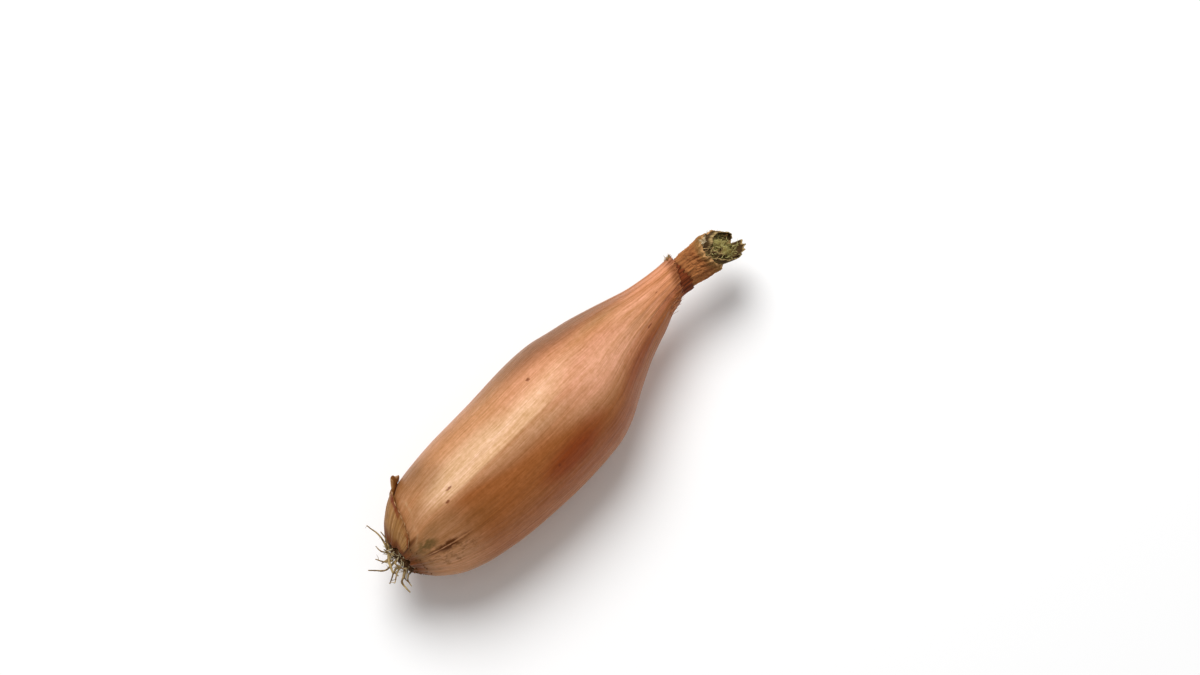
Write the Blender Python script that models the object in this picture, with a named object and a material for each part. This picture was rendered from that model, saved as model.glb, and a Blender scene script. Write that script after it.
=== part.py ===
"""A banana shallot, lying on its side as it rests on a table.

The frame has +X from the roots to the neck and +Z up. Its origin is the middle of the small flat
under the belly. The dimensions below are in millimetres, counted from the root end and from the
bulb's own axis; place() turns them into metres in that frame. Angles run round the bulb, from
straight up towards +Y.
"""
import math

import bmesh
import bpy
from mathutils import Vector

MM = 0.001

# Where the shallot rests
REST_X = 52.7  # from the root end to the middle of the flat
AXIS_HEIGHT = 18.35  # axis above the floor; the belly is 18.8 mm deep, so the flat takes off 0.45 mm

# The bulb: (distance from the root end, radius), and how far its middle strays sideways
BULB_OUTLINE = ((1.9, 5.25), (3.2, 7.0), (5.6, 9.9), (11.1, 13.9), (16.7, 15.8), (22.5, 16.9),
                (30.0, 17.8), (42.0, 18.4), (56.0, 18.8), (66.0, 18.2), (72.0, 16.7), (78.0, 14.6),
                (84.0, 12.3), (90.0, 10.1), (97.0, 7.85), (104.0, 6.1), (109.0, 5.45))
SIDE_BEND = ((0.0, 0.9), (11.0, 0.7), (20.0, 0.1), (42.0, -0.4), (60.0, 0.3), (72.0, 0.9),
             (80.0, 2.2), (88.0, 3.1), (97.0, 3.5), (104.0, 3.8), (112.0, 4.1))
BULB_START, BULB_END = BULB_OUTLINE[0][0], BULB_OUTLINE[-1][0]
BULB_SIDES = 48
BULB_RINGS = 38
RIDGE_ANGLE = math.radians(-6.0)  # a long ridge where the bulb once leaned on its neighbour
RIDGE_HEIGHT = 0.065  # of the radius
RIDGE_SPREAD = math.radians(22.0)
RIDGE_REACH = ((8.0, 0.0), (18.0, 1.0), (44.0, 1.0), (60.0, 0.4), (78.0, 0.15), (98.0, 0.0))
PLATE_SEAT = ((3.3, 4.2), (2.9, 4.8), (2.3, 4.97))  # the dimple for the basal plate

# The torn rim of the outer skin
RIM_SLANT_SIDE = 3.2  # the rim reaches further on the +Y side than on the -Y side
RIM_SLANT_TOP = 1.1
RIM_TEETH = ((5, 0.45, 0.4), (11, 0.25, 2.1))  # (teeth round the rim, height, turn)
RIM_FROM = 96.0  # the slant grows from here
RIM_FLARE = 0.2
SOCKET = ((108.8, 5.0), (107.5, 4.85), (104.0, 4.78))  # the hollow that the inner layers come out of
SOCKET_MOUTH, SOCKET_FLOOR = SOCKET[0][0], SOCKET[-1][0]

# The dry neck; every piece of it is sheared by TIP_SLANT, so its open end faces up and along +X
NECK_BEND = ((103.0, 3.75), (109.0, 4.0), (113.0, 3.7), (117.0, 3.2), (122.0, 2.4), (128.0, 1.4),
             (133.0, 0.8))
TIP_SLANT = 1.1
TIP_FROM, TIP_FULL = 112.0, 126.5
INNER_SKIN = ((104.5, 4.45), (109.0, 4.5), (111.5, 4.6))
INNER_SKIN_WALL = 0.38
INNER_SKIN_RINGS = 4
SHEATH_OUTLINE = ((104.8, 3.6), (109.0, 3.75), (112.0, 4.0), (115.0, 4.6), (120.5, 5.2), (123.5, 5.45),
                  (127.0, 5.4))
# How much shorter it is on top and where it is torn away on the -Y side: (angle in degrees, spread, depth)
SHEATH_DIPS = ((-20.0, 45.0, 0.8), (-112.0, 62.0, 5.4))
SHEATH_WALL = 0.45
SHEATH_FLOOR = 119.6
SHEATH_RINGS, HOLLOW_RINGS = 12, 3
SHEATH_FOLDS, SHEATH_FOLD_DEPTH = 9, 0.03
FOLDS_FROM, FOLDS_FULL = 113.0, 118.0
NECK_SIDES = 36
STUB_OUTLINE = ((120.1, 2.3), (121.5, 2.9), (125.6, 3.1), (126.7, 2.4))
STUB_START, STUB_TIP = STUB_OUTLINE[0][0], 127.1
LEAF_WALL = 0.34
LEAF_RINGS, LEAF_STEP = 4, 12.0  # rings along a leaf, and degrees between its points round the neck
# Dry leaf edges: (inner radius, first angle, last angle, how far out it reaches)
DRY_LEAVES = ((4.12, 15.0, 195.0, 127.5), (4.12, 215.0, 345.0, 127.0),
              (3.42, -70.0, 100.0, 126.8), (3.42, 130.0, 260.0, 127.9))

# The basal plate: (distance, radius), from its back to its face
PLATE_OUTLINE = ((3.0, 3.7), (2.6, 4.5), (2.0, 4.6), (1.4, 4.1), (1.0, 2.7))
PLATE_BACK, PLATE_FACE = 3.02, 0.75
PLATE_SIDES = 24

# The loose papery flap over the +Y side of the root end, by angle in degrees
FLAP_START = 2.5
FLAP_EDGE = ((-9.0, 3.9), (0.0, 5.4), (15.0, 6.6), (30.0, 8.4), (46.0, 10.2), (58.0, 12.2), (66.0, 13.8),
             (74.0, 15.0), (82.0, 13.8), (100.0, 11.2), (125.0, 8.5), (150.0, 4.5))
FLAP_CURL = ((-9.0, 0.2), (30.0, 0.5), (55.0, 1.0), (66.0, 2.0), (74.0, 2.9), (82.0, 1.9), (100.0, 0.6),
             (150.0, 0.2))
FLAP_WALL = 0.25
FLAP_LIES_TO = 0.6  # of the way out it lies flat; past that it curls
FLAP_STEPS_ROUND, FLAP_STEPS_ALONG = 36, 8
GAP = 0.32  # between pieces that would touch

# Roots: (thickness at the plate, points in x, y, z from the root end and the axis)
ROOTS = (
    (0.50, ((0.8, 4.9, 0.9), (1.7, 8.4, 2.8), (0.9, 12.4, 5.0))),
    (0.42, ((0.9, 4.1, 2.9), (2.2, 6.8, 4.1), (2.4, 8.8, 4.3))),
    (0.90, ((0.2, 3.5, 1.6), (-1.6, 1.4, 3.2), (-2.9, -1.3, 2.6))),
    (0.52, ((0.2, 1.3, 0.2), (-1.6, 1.1, 0.9), (-3.8, 1.2, 1.6), (-7.0, 3.8, 3.3))),
    (0.46, ((0.2, 3.2, -0.9), (-0.9, 3.3, -0.5), (-2.8, 3.4, 0.4))),
    (0.50, ((0.2, 0.5, 3.3), (-0.9, -0.4, 4.3), (-0.4, -2.6, 4.4), (0.8, -3.2, 3.1))),
    (0.62, ((0.3, -2.2, 0.4), (-1.2, -3.3, 0.5), (-2.6, -4.1, 0.0), (-2.8, -7.3, -1.0))),
    (0.40, ((0.5, -3.2, -1.0), (-0.8, -4.3, -1.2), (-1.3, -6.2, -2.0))),
    (0.44, ((0.3, -1.9, -2.3), (-0.8, -3.0, -3.2), (-0.6, -4.6, -4.6))),
    (0.48, ((0.3, 0.3, -1.6), (-2.0, -0.1, -2.2), (-4.6, -1.2, -3.6))),
    (0.56, ((0.3, 0.6, -3.6), (-1.1, 0.8, -5.4), (-0.9, 0.2, -8.8))),
    (0.44, ((0.3, 2.6, -2.8), (-1.3, 4.1, -4.0), (-2.2, 6.6, -5.2))),
    (0.40, ((0.7, 4.6, -1.7), (-0.2, 7.0, -2.8), (0.2, 9.3, -5.2))),
    (0.46, ((0.2, -0.9, 1.9), (-1.9, -1.7, 1.4), (-4.4, -3.4, 2.4))),
    (0.38, ((0.3, 2.6, 0.2), (-2.2, 3.0, 1.6), (-3.5, 4.8, 2.6))),
    (0.42, ((0.5, 2.0, 3.6), (-0.4, 3.4, 5.5), (-0.9, 3.7, 8.2))),
)
ROOT_TIP = 0.4  # of the thickness at the plate
ROOT_STEPS = 4  # path points between two of the points above

# Plain finishes: linear colour and roughness
SKIN = ("outer_skin", (0.515, 0.223, 0.091), 0.42)
PLATE = ("corky_plate", (0.080, 0.038, 0.017), 0.90)
FLAP = ("loose_skin", (0.296, 0.153, 0.056), 0.60)
RED_SKIN = ("inner_skin", (0.156, 0.032, 0.021), 0.60)
SHEATH = ("dry_sheath", (0.238, 0.087, 0.032), 0.80)
STUB = ("leaf_stub", (0.216, 0.156, 0.056), 0.95)
LEAF = ("dry_leaf", (0.262, 0.171, 0.070), 0.85)
ROOT = ("dry_root", (0.205, 0.141, 0.070), 0.85)


def place(x, y, z):
    """Metres in the part's frame, from millimetres from the root end and the bulb's axis."""
    return Vector(((x - REST_X) * MM, y * MM, (z + AXIS_HEIGHT) * MM))


def through(stations, x):
    """Value at x of a smooth curve through (position, value) stations, level past its ends."""
    if x <= stations[0][0]:
        return stations[0][1]
    if x >= stations[-1][0]:
        return stations[-1][1]
    k = max(i for i, (position, _) in enumerate(stations) if position <= x)
    (x0, v0), (x1, v1) = stations[k], stations[k + 1]
    span = x1 - x0
    step = (v1 - v0) / span
    slope0 = (v1 - stations[k - 1][1]) / (x1 - stations[k - 1][0]) if k > 0 else step
    slope1 = (stations[k + 2][1] - v0) / (stations[k + 2][0] - x0) if k + 2 < len(stations) else step
    t = (x - x0) / span
    return (v0 * (2 * t**3 - 3 * t**2 + 1) + v1 * (3 * t**2 - 2 * t**3)
            + span * (slope0 * (t**3 - 2 * t**2 + t) + slope1 * (t**3 - t**2)))


def ease(low, high, x):
    """0 below low, 1 above high, smooth between."""
    t = min(1.0, max(0.0, (x - low) / (high - low)))
    return t * t * (3.0 - 2.0 * t)


def ends_close(start, end, count):
    """Positions from start to end that lie closer together at both ends."""
    return [start + (end - start) * (1.0 - math.cos(math.pi * k / count)) / 2.0 for k in range(count + 1)]


def turns(count, first=0.0):
    """Equal angles round a ring."""
    return [first + 2.0 * math.pi * k / count for k in range(count)]


def rim_shift(angle):
    """How far the torn rim of the outer skin reaches past its mean at this angle."""
    teeth = sum(height * math.sin(count * angle + turn) for count, height, turn in RIM_TEETH)
    return RIM_SLANT_SIDE * math.sin(angle) + RIM_SLANT_TOP * math.cos(angle) + teeth


def bulb_point(x, angle):
    """A point of the outer skin."""
    radius = through(BULB_OUTLINE, x)
    off_ridge = abs(math.remainder(angle - RIDGE_ANGLE, 2.0 * math.pi))
    radius *= 1.0 + RIDGE_HEIGHT * through(RIDGE_REACH, x) * math.exp(-off_ridge / RIDGE_SPREAD)
    torn = ease(RIM_FROM, BULB_END, x)
    radius += RIM_FLARE * torn**3 * max(0.0, math.sin(angle))**2
    middle = through(SIDE_BEND, x)
    return place(x + torn * rim_shift(angle), middle + radius * math.sin(angle), radius * math.cos(angle))


def above_bulb(x, angle, height):
    """A point at this height over the outer skin, square to it."""
    step, turn = 0.1, 0.01
    along = bulb_point(x + step, angle) - bulb_point(x - step, angle)
    around = bulb_point(x, angle + turn) - bulb_point(x, angle - turn)
    return bulb_point(x, angle) + around.cross(along).normalized() * -height * MM


def socket_point(x, radius, angle):
    """A point in the socket, which slants with the torn rim."""
    torn = ease(SOCKET_FLOOR, SOCKET_MOUTH, x)
    return place(x + torn * rim_shift(angle), through(NECK_BEND, x) + radius * math.sin(angle),
                 radius * math.cos(angle))


def neck_point(x, radius, angle):
    """A point of the dry neck, sheared so that the open end is slanted."""
    slant = TIP_SLANT * ease(TIP_FROM, TIP_FULL, x)
    middle = through(NECK_BEND, x)
    return place(x - slant * radius * math.cos(angle), middle + radius * math.sin(angle),
                 radius * math.cos(angle))


def new_mesh(name, finish):
    """An empty mesh object in the scene, with its own material."""
    mesh = bpy.data.meshes.new(name)
    obj = bpy.data.objects.new(name, mesh)
    bpy.context.scene.collection.objects.link(obj)
    give_finish(obj, finish)
    return obj


def give_finish(obj, finish):
    """The plain material of one piece."""
    label, colour, roughness = finish
    material = bpy.data.materials.new(f"{obj.name}_{label}")
    material.use_nodes = True
    shader = material.node_tree.nodes["Principled BSDF"]
    shader.inputs["Base Color"].default_value = (*colour, 1.0)
    shader.inputs["Roughness"].default_value = roughness
    shader.inputs["Metallic"].default_value = 0.0
    obj.data.materials.append(material)


def store(bm, obj, crease=50.0):
    """Write a closed bmesh into its object, facing out and shaded smooth."""
    bmesh.ops.recalc_face_normals(bm, faces=bm.faces)
    bm.to_mesh(obj.data)
    bm.free()
    obj.data.shade_smooth()
    obj.data.set_sharp_from_angle(angle=math.radians(crease))


def loft(rings, start, end):
    """A closed skin over rings of points, closed to one point at each end."""
    bm = bmesh.new()
    rows = [[bm.verts.new(point) for point in ring] for ring in rings]
    for row, following in zip(rows, rows[1:]):
        for k in range(len(row)):
            j = (k + 1) % len(row)
            bm.faces.new((row[k], row[j], following[j], following[k]))
    for row, tip in ((rows[0], start), (rows[-1], end)):
        pole = bm.verts.new(tip)
        for k in range(len(row)):
            bm.faces.new((row[k], row[(k + 1) % len(row)], pole))
    return bm


def slab(inner, outer):
    """A thin solid between two grids of points."""
    bm = bmesh.new()
    sides = [[[bm.verts.new(point) for point in row] for row in grid] for grid in (inner, outer)]
    rows, columns = len(inner), len(inner[0])
    for side in sides:
        for i in range(rows - 1):
            for j in range(columns - 1):
                bm.faces.new((side[i][j], side[i + 1][j], side[i + 1][j + 1], side[i][j + 1]))
    border = [(0, j) for j in range(columns)] + [(i, columns - 1) for i in range(1, rows)]
    border += [(rows - 1, j) for j in range(columns - 2, -1, -1)] + [(i, 0) for i in range(rows - 2, 0, -1)]
    for (i, j), (k, m) in zip(border, border[1:] + border[:1]):
        bm.faces.new((sides[0][i][j], sides[0][k][m], sides[1][k][m], sides[1][i][j]))
    return bm


def tube(inner, outer):
    """A solid ring between an inner and an outer wall, each a list of rings in the same order."""
    bm = bmesh.new()
    loop = [[bm.verts.new(point) for point in ring] for ring in outer + inner[::-1]]
    for row, following in zip(loop, loop[1:] + loop[:1]):
        for k in range(len(row)):
            j = (k + 1) % len(row)
            bm.faces.new((row[k], row[j], following[j], following[k]))
    return bm


def make_bulb():
    """The bulb, with a dimple for the basal plate, a socket for the neck and a flat to rest on."""
    angles = turns(BULB_SIDES, RIDGE_ANGLE)
    seat_y = SIDE_BEND[0][1]
    rings = [[place(x, seat_y + r * math.sin(a), r * math.cos(a)) for a in angles] for x, r in PLATE_SEAT]
    rings += [[bulb_point(x, a) for a in angles] for x in ends_close(BULB_START, BULB_END, BULB_RINGS)]
    rings += [[socket_point(x, radius, a) for a in angles] for x, radius in SOCKET]
    bm = loft(rings, place(PLATE_SEAT[0][0], seat_y, 0.0), socket_point(SOCKET_FLOOR, 0.0, 0.0))
    everything = bm.verts[:] + bm.edges[:] + bm.faces[:]
    bmesh.ops.bisect_plane(bm, geom=everything, plane_co=(0, 0, 0), plane_no=(0, 0, -1), clear_outer=True)
    bmesh.ops.contextual_create(bm, geom=[edge for edge in bm.edges if edge.is_boundary])
    bulb = new_mesh("bulb", SKIN)
    store(bm, bulb)
    return bulb


def make_basal_plate():
    """The corky disc in the bulb's dimple."""
    middle = SIDE_BEND[0][1]
    rings = [[place(x, middle + r * math.sin(a), r * math.cos(a)) for a in turns(PLATE_SIDES)]
             for x, r in PLATE_OUTLINE]
    plate = new_mesh("basal_plate", PLATE)
    store(loft(rings, place(PLATE_BACK, middle, 0.0), place(PLATE_FACE, middle, 0.0)), plate)
    return plate


def make_skin_flap():
    """The papery flap: it follows the bulb, and its free edge curls away."""
    first, last = FLAP_EDGE[0][0], FLAP_EDGE[-1][0]
    inner, outer = [], []
    for i in range(FLAP_STEPS_ROUND + 1):
        degrees = first + (last - first) * i / FLAP_STEPS_ROUND
        reach, curl = through(FLAP_EDGE, degrees) - FLAP_START, through(FLAP_CURL, degrees)
        row = []
        for j in range(FLAP_STEPS_ALONG + 1):
            along = j / FLAP_STEPS_ALONG
            curled = max(0.0, along - FLAP_LIES_TO) / (1.0 - FLAP_LIES_TO)
            row.append((FLAP_START + reach * along, math.radians(degrees), GAP + curl * curled**2))
        inner.append([above_bulb(x, angle, height) for x, angle, height in row])
        outer.append([above_bulb(x, angle, height + FLAP_WALL) for x, angle, height in row])
    flap = new_mesh("skin_flap", FLAP)
    store(slab(inner, outer), flap)
    return flap


def make_inner_skin():
    """The second skin, which comes out of the socket and is torn off just past the first."""
    start, end = INNER_SKIN[0][0], INNER_SKIN[-1][0]
    places = [start + (end - start) * k / INNER_SKIN_RINGS for k in range(INNER_SKIN_RINGS + 1)]
    walls = [[[neck_point(x, through(INNER_SKIN, x) - inset, a) for a in turns(NECK_SIDES)] for x in places]
             for inset in (INNER_SKIN_WALL, 0.0)]
    skin = new_mesh("inner_skin", RED_SKIN)
    store(tube(*walls), skin)
    return skin


def sheath_rim(angle):
    """How far out the sheath reaches at this angle."""
    rim = SHEATH_OUTLINE[-1][0]
    for lowest, spread, depth in SHEATH_DIPS:
        away = (math.degrees(angle) - lowest + 180.0) % 360.0 - 180.0
        rim -= depth * math.exp(-((away / spread) ** 2))
    return rim


def sheath_ring(start, share, inset):
    """One folded ring of the sheath's wall, this share of the way from start to the rim."""
    ring = []
    for angle in turns(NECK_SIDES):
        x = start + (sheath_rim(angle) - start) * share
        folds = SHEATH_FOLD_DEPTH * ease(FOLDS_FROM, FOLDS_FULL, x)
        radius = through(SHEATH_OUTLINE, x) * (1.0 + folds * math.sin(SHEATH_FOLDS * angle)) - inset
        ring.append(neck_point(x, radius, angle))
    return ring


def make_neck_sheath():
    """The dry tube of the neck, open at its slanted end."""
    start = SHEATH_OUTLINE[0][0]
    outside = [sheath_ring(start, k / SHEATH_RINGS, 0.0) for k in range(SHEATH_RINGS + 1)]
    inside = [sheath_ring(SHEATH_FLOOR, 1.0 - k / HOLLOW_RINGS, SHEATH_WALL) for k in range(HOLLOW_RINGS + 1)]
    sheath = new_mesh("neck_sheath", SHEATH)
    store(loft(outside + inside, neck_point(start, 0.0, 0.0), neck_point(SHEATH_FLOOR, 0.0, 0.0)), sheath)
    return sheath


def make_leaf_stub():
    """The packed leaf bases in the middle of the neck."""
    rings = [[neck_point(x, radius, a) for a in turns(NECK_SIDES // 2)] for x, radius in STUB_OUTLINE]
    stub = new_mesh("leaf_stub", STUB)
    store(loft(rings, neck_point(STUB_START, 0.0, 0.0), neck_point(STUB_TIP, 0.0, 0.0)), stub)
    return stub


def make_dry_leaf(name, radius, first, last, reach):
    """One dry leaf, bent round the stub."""
    columns = round((last - first) / LEAF_STEP)
    angles = [math.radians(first + (last - first) * c / columns) for c in range(columns + 1)]
    inner, outer = [], []
    for k in range(LEAF_RINGS + 1):
        x = STUB_START + (reach - STUB_START) * k / LEAF_RINGS
        inner.append([neck_point(x, radius, a) for a in angles])
        outer.append([neck_point(x, radius + LEAF_WALL, a) for a in angles])
    leaf = new_mesh(name, LEAF)
    store(slab(inner, outer), leaf)
    return leaf


def make_root(name, thickness, points):
    """One dry root, a tapered tube along a smooth path."""
    stations = [tuple(enumerate(values)) for values in zip(*points)]
    count = ROOT_STEPS * (len(points) - 1)
    curve = bpy.data.curves.new(name, "CURVE")
    curve.dimensions = "3D"
    curve.bevel_depth = thickness / 2.0 * MM
    curve.bevel_resolution = 1
    curve.use_fill_caps = True
    spline = curve.splines.new("POLY")
    spline.points.add(count)
    for k, point in enumerate(spline.points):
        along = k / ROOT_STEPS
        point.co = (*place(*(through(axis, along) for axis in stations)), 1.0)
        point.radius = 1.0 - (1.0 - ROOT_TIP) * k / count
    root = bpy.data.objects.new(name, curve)
    bpy.context.scene.collection.objects.link(root)
    give_finish(root, ROOT)
    return root


def make_shallot():
    """Every piece, parented to one empty at the middle of the flat."""
    pieces = [make_bulb(), make_basal_plate(), make_skin_flap(), make_inner_skin(), make_neck_sheath(),
              make_leaf_stub()]
    pieces += [make_dry_leaf(f"dry_leaf_{k:02d}", *leaf) for k, leaf in enumerate(DRY_LEAVES, 1)]
    pieces += [make_root(f"root_{k:02d}", *root) for k, root in enumerate(ROOTS, 1)]
    shallot = bpy.data.objects.new("shallot", None)
    bpy.context.scene.collection.objects.link(shallot)
    for piece in pieces:
        piece.parent = shallot


for old in list(bpy.context.scene.objects):
    bpy.data.objects.remove(old, do_unlink=True)
make_shallot()
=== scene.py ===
import math

import bpy
import numpy as np
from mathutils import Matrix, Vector


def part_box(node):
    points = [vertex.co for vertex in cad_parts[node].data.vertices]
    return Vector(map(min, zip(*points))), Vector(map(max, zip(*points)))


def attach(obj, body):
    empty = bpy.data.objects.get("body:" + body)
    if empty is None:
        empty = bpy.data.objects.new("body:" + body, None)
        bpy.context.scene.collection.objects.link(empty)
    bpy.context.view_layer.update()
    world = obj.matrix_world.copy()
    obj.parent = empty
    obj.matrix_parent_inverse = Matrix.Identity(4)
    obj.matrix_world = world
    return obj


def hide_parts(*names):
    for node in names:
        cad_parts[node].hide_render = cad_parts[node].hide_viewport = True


# A banana shallot on its side: the CAD pieces give the places, this file gives skin, fibres and roots.
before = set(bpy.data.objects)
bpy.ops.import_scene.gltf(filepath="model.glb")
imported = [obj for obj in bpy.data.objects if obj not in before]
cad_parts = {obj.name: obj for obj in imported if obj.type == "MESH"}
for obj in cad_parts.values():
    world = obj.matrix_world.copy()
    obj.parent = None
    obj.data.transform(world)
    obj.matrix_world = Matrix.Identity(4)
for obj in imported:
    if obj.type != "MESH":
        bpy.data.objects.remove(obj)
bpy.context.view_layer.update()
print("frame loaded:", len(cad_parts), "nodes")

mm = 0.001
flowRadius = 19.0  # mm; patterns on the skin are laid out as if it were this wide all along
nodeStep, nodesPerRow = (180, 260), 12  # how nodes are set out in the editor

plateLow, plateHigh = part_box("basal_plate")
plateFace = 0.75  # mm from the root end to the plate's outermost point
rootEnd = plateLow.x - plateFace * mm
axisHeight = (plateLow.z + plateHigh.z) / 2


# Shapes are in mm, counted from the root end and the bulb's axis; turns go from straight up towards +Y.

def toFrame(along, side, up):
    along, side, up = np.broadcast_arrays(along, side, up)
    return np.stack([rootEnd + along * mm, side * mm, axisHeight + up * mm], -1)


def through(stations, x):  # a smooth curve through (position, value) stations
    at, value = np.array(stations, float).T
    slope = np.gradient(value, at)
    slope[1:-1] = (value[2:] - value[:-2]) / (at[2:] - at[:-2])
    x = np.clip(x, at[0], at[-1])
    k = np.clip(np.searchsorted(at, x, side="right") - 1, 0, len(at) - 2)
    span = at[k + 1] - at[k]
    t = (x - at[k]) / span
    return (value[k] * (2 * t**3 - 3 * t**2 + 1) + value[k + 1] * (3 * t**2 - 2 * t**3)
            + span * (slope[k] * (t**3 - 2 * t**2 + t) + slope[k + 1] * (t**3 - t**2)))


def ease(low, high, x):
    t = np.clip((x - low) / (high - low), 0.0, 1.0)
    return t * t * (3.0 - 2.0 * t)


def between(pair, share):
    return pair[0] + (pair[1] - pair[0]) * share


def shares(count):  # 0 to 1, one for each row of a mesh
    return np.linspace(0, 1, count)[:, None]


def ripples(turn, along, seed, turns=(2, 9), reach=12.0, count=14):  # smooth noise that closes round a ring
    rng = np.random.default_rng(seed)
    total = np.zeros(np.broadcast(turn, along).shape)
    for _ in range(count):
        around, length = rng.integers(turns[0], turns[1] + 1), rng.uniform(0.5, 1.5) / reach
        total += np.sin(around * turn + 2 * math.pi * length * along + rng.uniform(0, 2 * math.pi))
    return total / math.sqrt(count)


def awayFrom(turn, degrees):  # signed angle from a line along the bulb, in radians
    return np.mod(turn - np.radians(degrees) + math.pi, 2 * math.pi) - math.pi


def hump(turn, degrees, width):  # 1 on a line along the shallot, fading to both sides of it
    return np.exp(-((awayFrom(turn, degrees) / math.radians(width)) ** 2))


def ovals(along, turn, spots):  # 1 inside soft oval patches on the skin, 0 outside
    inside = np.zeros(np.broadcast(turn, along).shape)
    for at, degrees, reach, width, strength in spots:
        across = awayFrom(turn, degrees) * flowRadius
        far = np.sqrt(((along - at) / reach) ** 2 + (across / width) ** 2)
        inside = np.maximum(inside, strength * (1.0 - ease(0.35, 1.35, far)))
    return inside


def roundTurns(sides):  # the ring starts underneath, where its seam can't be seen
    return (math.pi + 2 * math.pi * np.arange(sides) / sides)[None]


def flowOf(along, turn):
    along, turn = np.broadcast_arrays(along, turn)
    return np.stack([flowRadius * np.cos(turn), flowRadius * np.sin(turn), along], -1)


def sheetData(along, turn, share, loose):  # loose: the shares between which the sheet gets wrinkled
    return {"flow": flowOf(along, turn), "loose": ease(*loose, share) + 0 * turn, "edge": share + 0 * turn}


def unit(vectors):
    return vectors / np.linalg.norm(vectors, axis=-1, keepdims=True)


# Meshes

def gridMesh(name, points, data, closed=True, poles=None):
    rows, columns = points.shape[:2]
    verts = points.reshape(-1, 3)
    rim = columns if closed else columns - 1
    i, j = (a.ravel() for a in np.meshgrid(np.arange(rows - 1), np.arange(rim), indexing="ij"))
    here, beyond, right = i * columns, (i + 1) * columns, (j + 1) % columns
    faces = np.stack([here + j, beyond + j, beyond + right, here + right], -1).tolist()
    edge = 0.02 if poles is not None else 0.0  # the map's two borders go to the closed ends
    u0, u1 = (edge + (1 - 2 * edge) * k / (rows - 1) for k in (i, i + 1))
    v0, v1 = j / rim, (j + 1) / rim
    uv = [np.stack([u0, v0, u1, v0, u1, v1, u0, v1], -1).reshape(-1, 2)]
    if poles is not None:
        verts = np.vstack([verts, np.reshape(poles, (2, 3))])
        k = np.arange(columns)
        last = (rows - 1) * columns
        first, second = np.full(columns, rows * columns), np.full(columns, rows * columns + 1)
        faces += np.stack([k, (k + 1) % columns, first], -1).tolist()
        faces += np.stack([last + (k + 1) % columns, last + k, second], -1).tolist()
        a, b, middle = k / columns, (k + 1) / columns, (k + 0.5) / columns
        low, high = np.full(columns, edge), np.full(columns, 1 - edge)
        uv.append(np.stack([low, a, low, b, 0 * a, middle], -1).reshape(-1, 2))
        uv.append(np.stack([high, b, high, a, 0 * a + 1, middle], -1).reshape(-1, 2))
    mesh = bpy.data.meshes.new(name)
    mesh.from_pydata(verts.tolist(), [], faces)
    mesh.uv_layers.new(name="OFBake").data.foreach_set("uv", np.concatenate(uv).astype(np.float32).ravel())
    for label, values in data.items():
        wide = values.ndim == 3
        if poles is not None:
            ends = [values[0].mean(0)[None], values[-1].mean(0)[None]]
            values = np.concatenate([values.reshape(-1, 3) if wide else values.reshape(-1)] + ends)
        layer = mesh.attributes.new(label, "FLOAT_VECTOR" if wide else "FLOAT", "POINT")
        layer.data.foreach_set("vector" if wide else "value", values.astype(np.float32).ravel())
    mesh.shade_smooth()
    return mesh


def newObject(name, mesh):
    piece = bpy.data.objects.new(name, mesh)
    bpy.context.scene.collection.objects.link(piece)
    return piece


def newSheet(name, points, data, closed=True, poles=None):
    return newObject(name, gridMesh(name, points, data, closed, poles))


def settled(piece):  # the piece with its modifiers worked into a plain mesh
    graph = bpy.context.evaluated_depsgraph_get()
    mesh = bpy.data.meshes.new_from_object(piece.evaluated_get(graph), depsgraph=graph)
    piece.modifiers.clear()
    piece.data = mesh
    mesh.name = piece.name
    return piece


def thicken(piece, thickness, offset=-1.0):
    wall = piece.modifiers.new("wall", "SOLIDIFY")
    wall.thickness, wall.offset, wall.use_quality_normals = thickness * mm, offset, True
    return settled(piece)


def standIn(piece, slot, *nodes):
    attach(piece, "root")
    if nodes:
        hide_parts(*nodes)
    print("made", piece.name, len(piece.data.polygons), "faces")
    return piece


# Node trees

def add(tree, kind, inputs=None, **settings):
    node = tree.nodes.new(kind)
    row, column = divmod(len(tree.nodes), nodesPerRow)
    node.location = (nodeStep[0] * column, -nodeStep[1] * row)
    for label, value in settings.items():
        setattr(node, label, value)
    for label, value in (inputs or {}).items():
        if isinstance(value, bpy.types.NodeSocket):
            tree.links.new(value, node.inputs[label])
        else:
            node.inputs[label].default_value = value
    return node


def calc(tree, operation, *values, clamp=False):
    inputs = dict(enumerate(values))
    return add(tree, "ShaderNodeMath", inputs, operation=operation, use_clamp=clamp).outputs[0]


def plus(tree, a, b):
    return calc(tree, "ADD", a, b)


def minus(tree, a, b):
    return calc(tree, "SUBTRACT", a, b)


def times(tree, a, b):
    return calc(tree, "MULTIPLY", a, b)


def vectorCalc(tree, operation, *values):
    inputs = {0: values[0], 3: values[1]} if operation == "SCALE" else dict(enumerate(values))
    node = add(tree, "ShaderNodeVectorMath", inputs, operation=operation)
    return node.outputs["Value" if operation in ("LENGTH", "DISTANCE") else "Vector"]


def vectorOf(tree, x=0.0, y=0.0, z=0.0):
    return add(tree, "ShaderNodeCombineXYZ", {0: x, 1: y, 2: z}).outputs[0]


def spread(tree, value, low, high, toLow=0.0, toHigh=1.0, kind="SMOOTHSTEP"):
    inputs = {0: value, 1: low, 2: high, 3: toLow, 4: toHigh}
    return add(tree, "ShaderNodeMapRange", inputs, interpolation_type=kind).outputs[0]


def sway(tree, noise, low, high):  # a noise's usual range stretched to low ... high
    return spread(tree, noise, 0.3, 0.7, low, high, "LINEAR")


def noiseOf(tree, vector, scale, detail=2.0, rough=0.5, seed=0.0, output="Fac"):
    inputs = {"Vector": vector, "W": seed, "Scale": scale, "Detail": detail, "Roughness": rough}
    return add(tree, "ShaderNodeTexNoise", inputs, noise_dimensions="4D").outputs[output]


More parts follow.
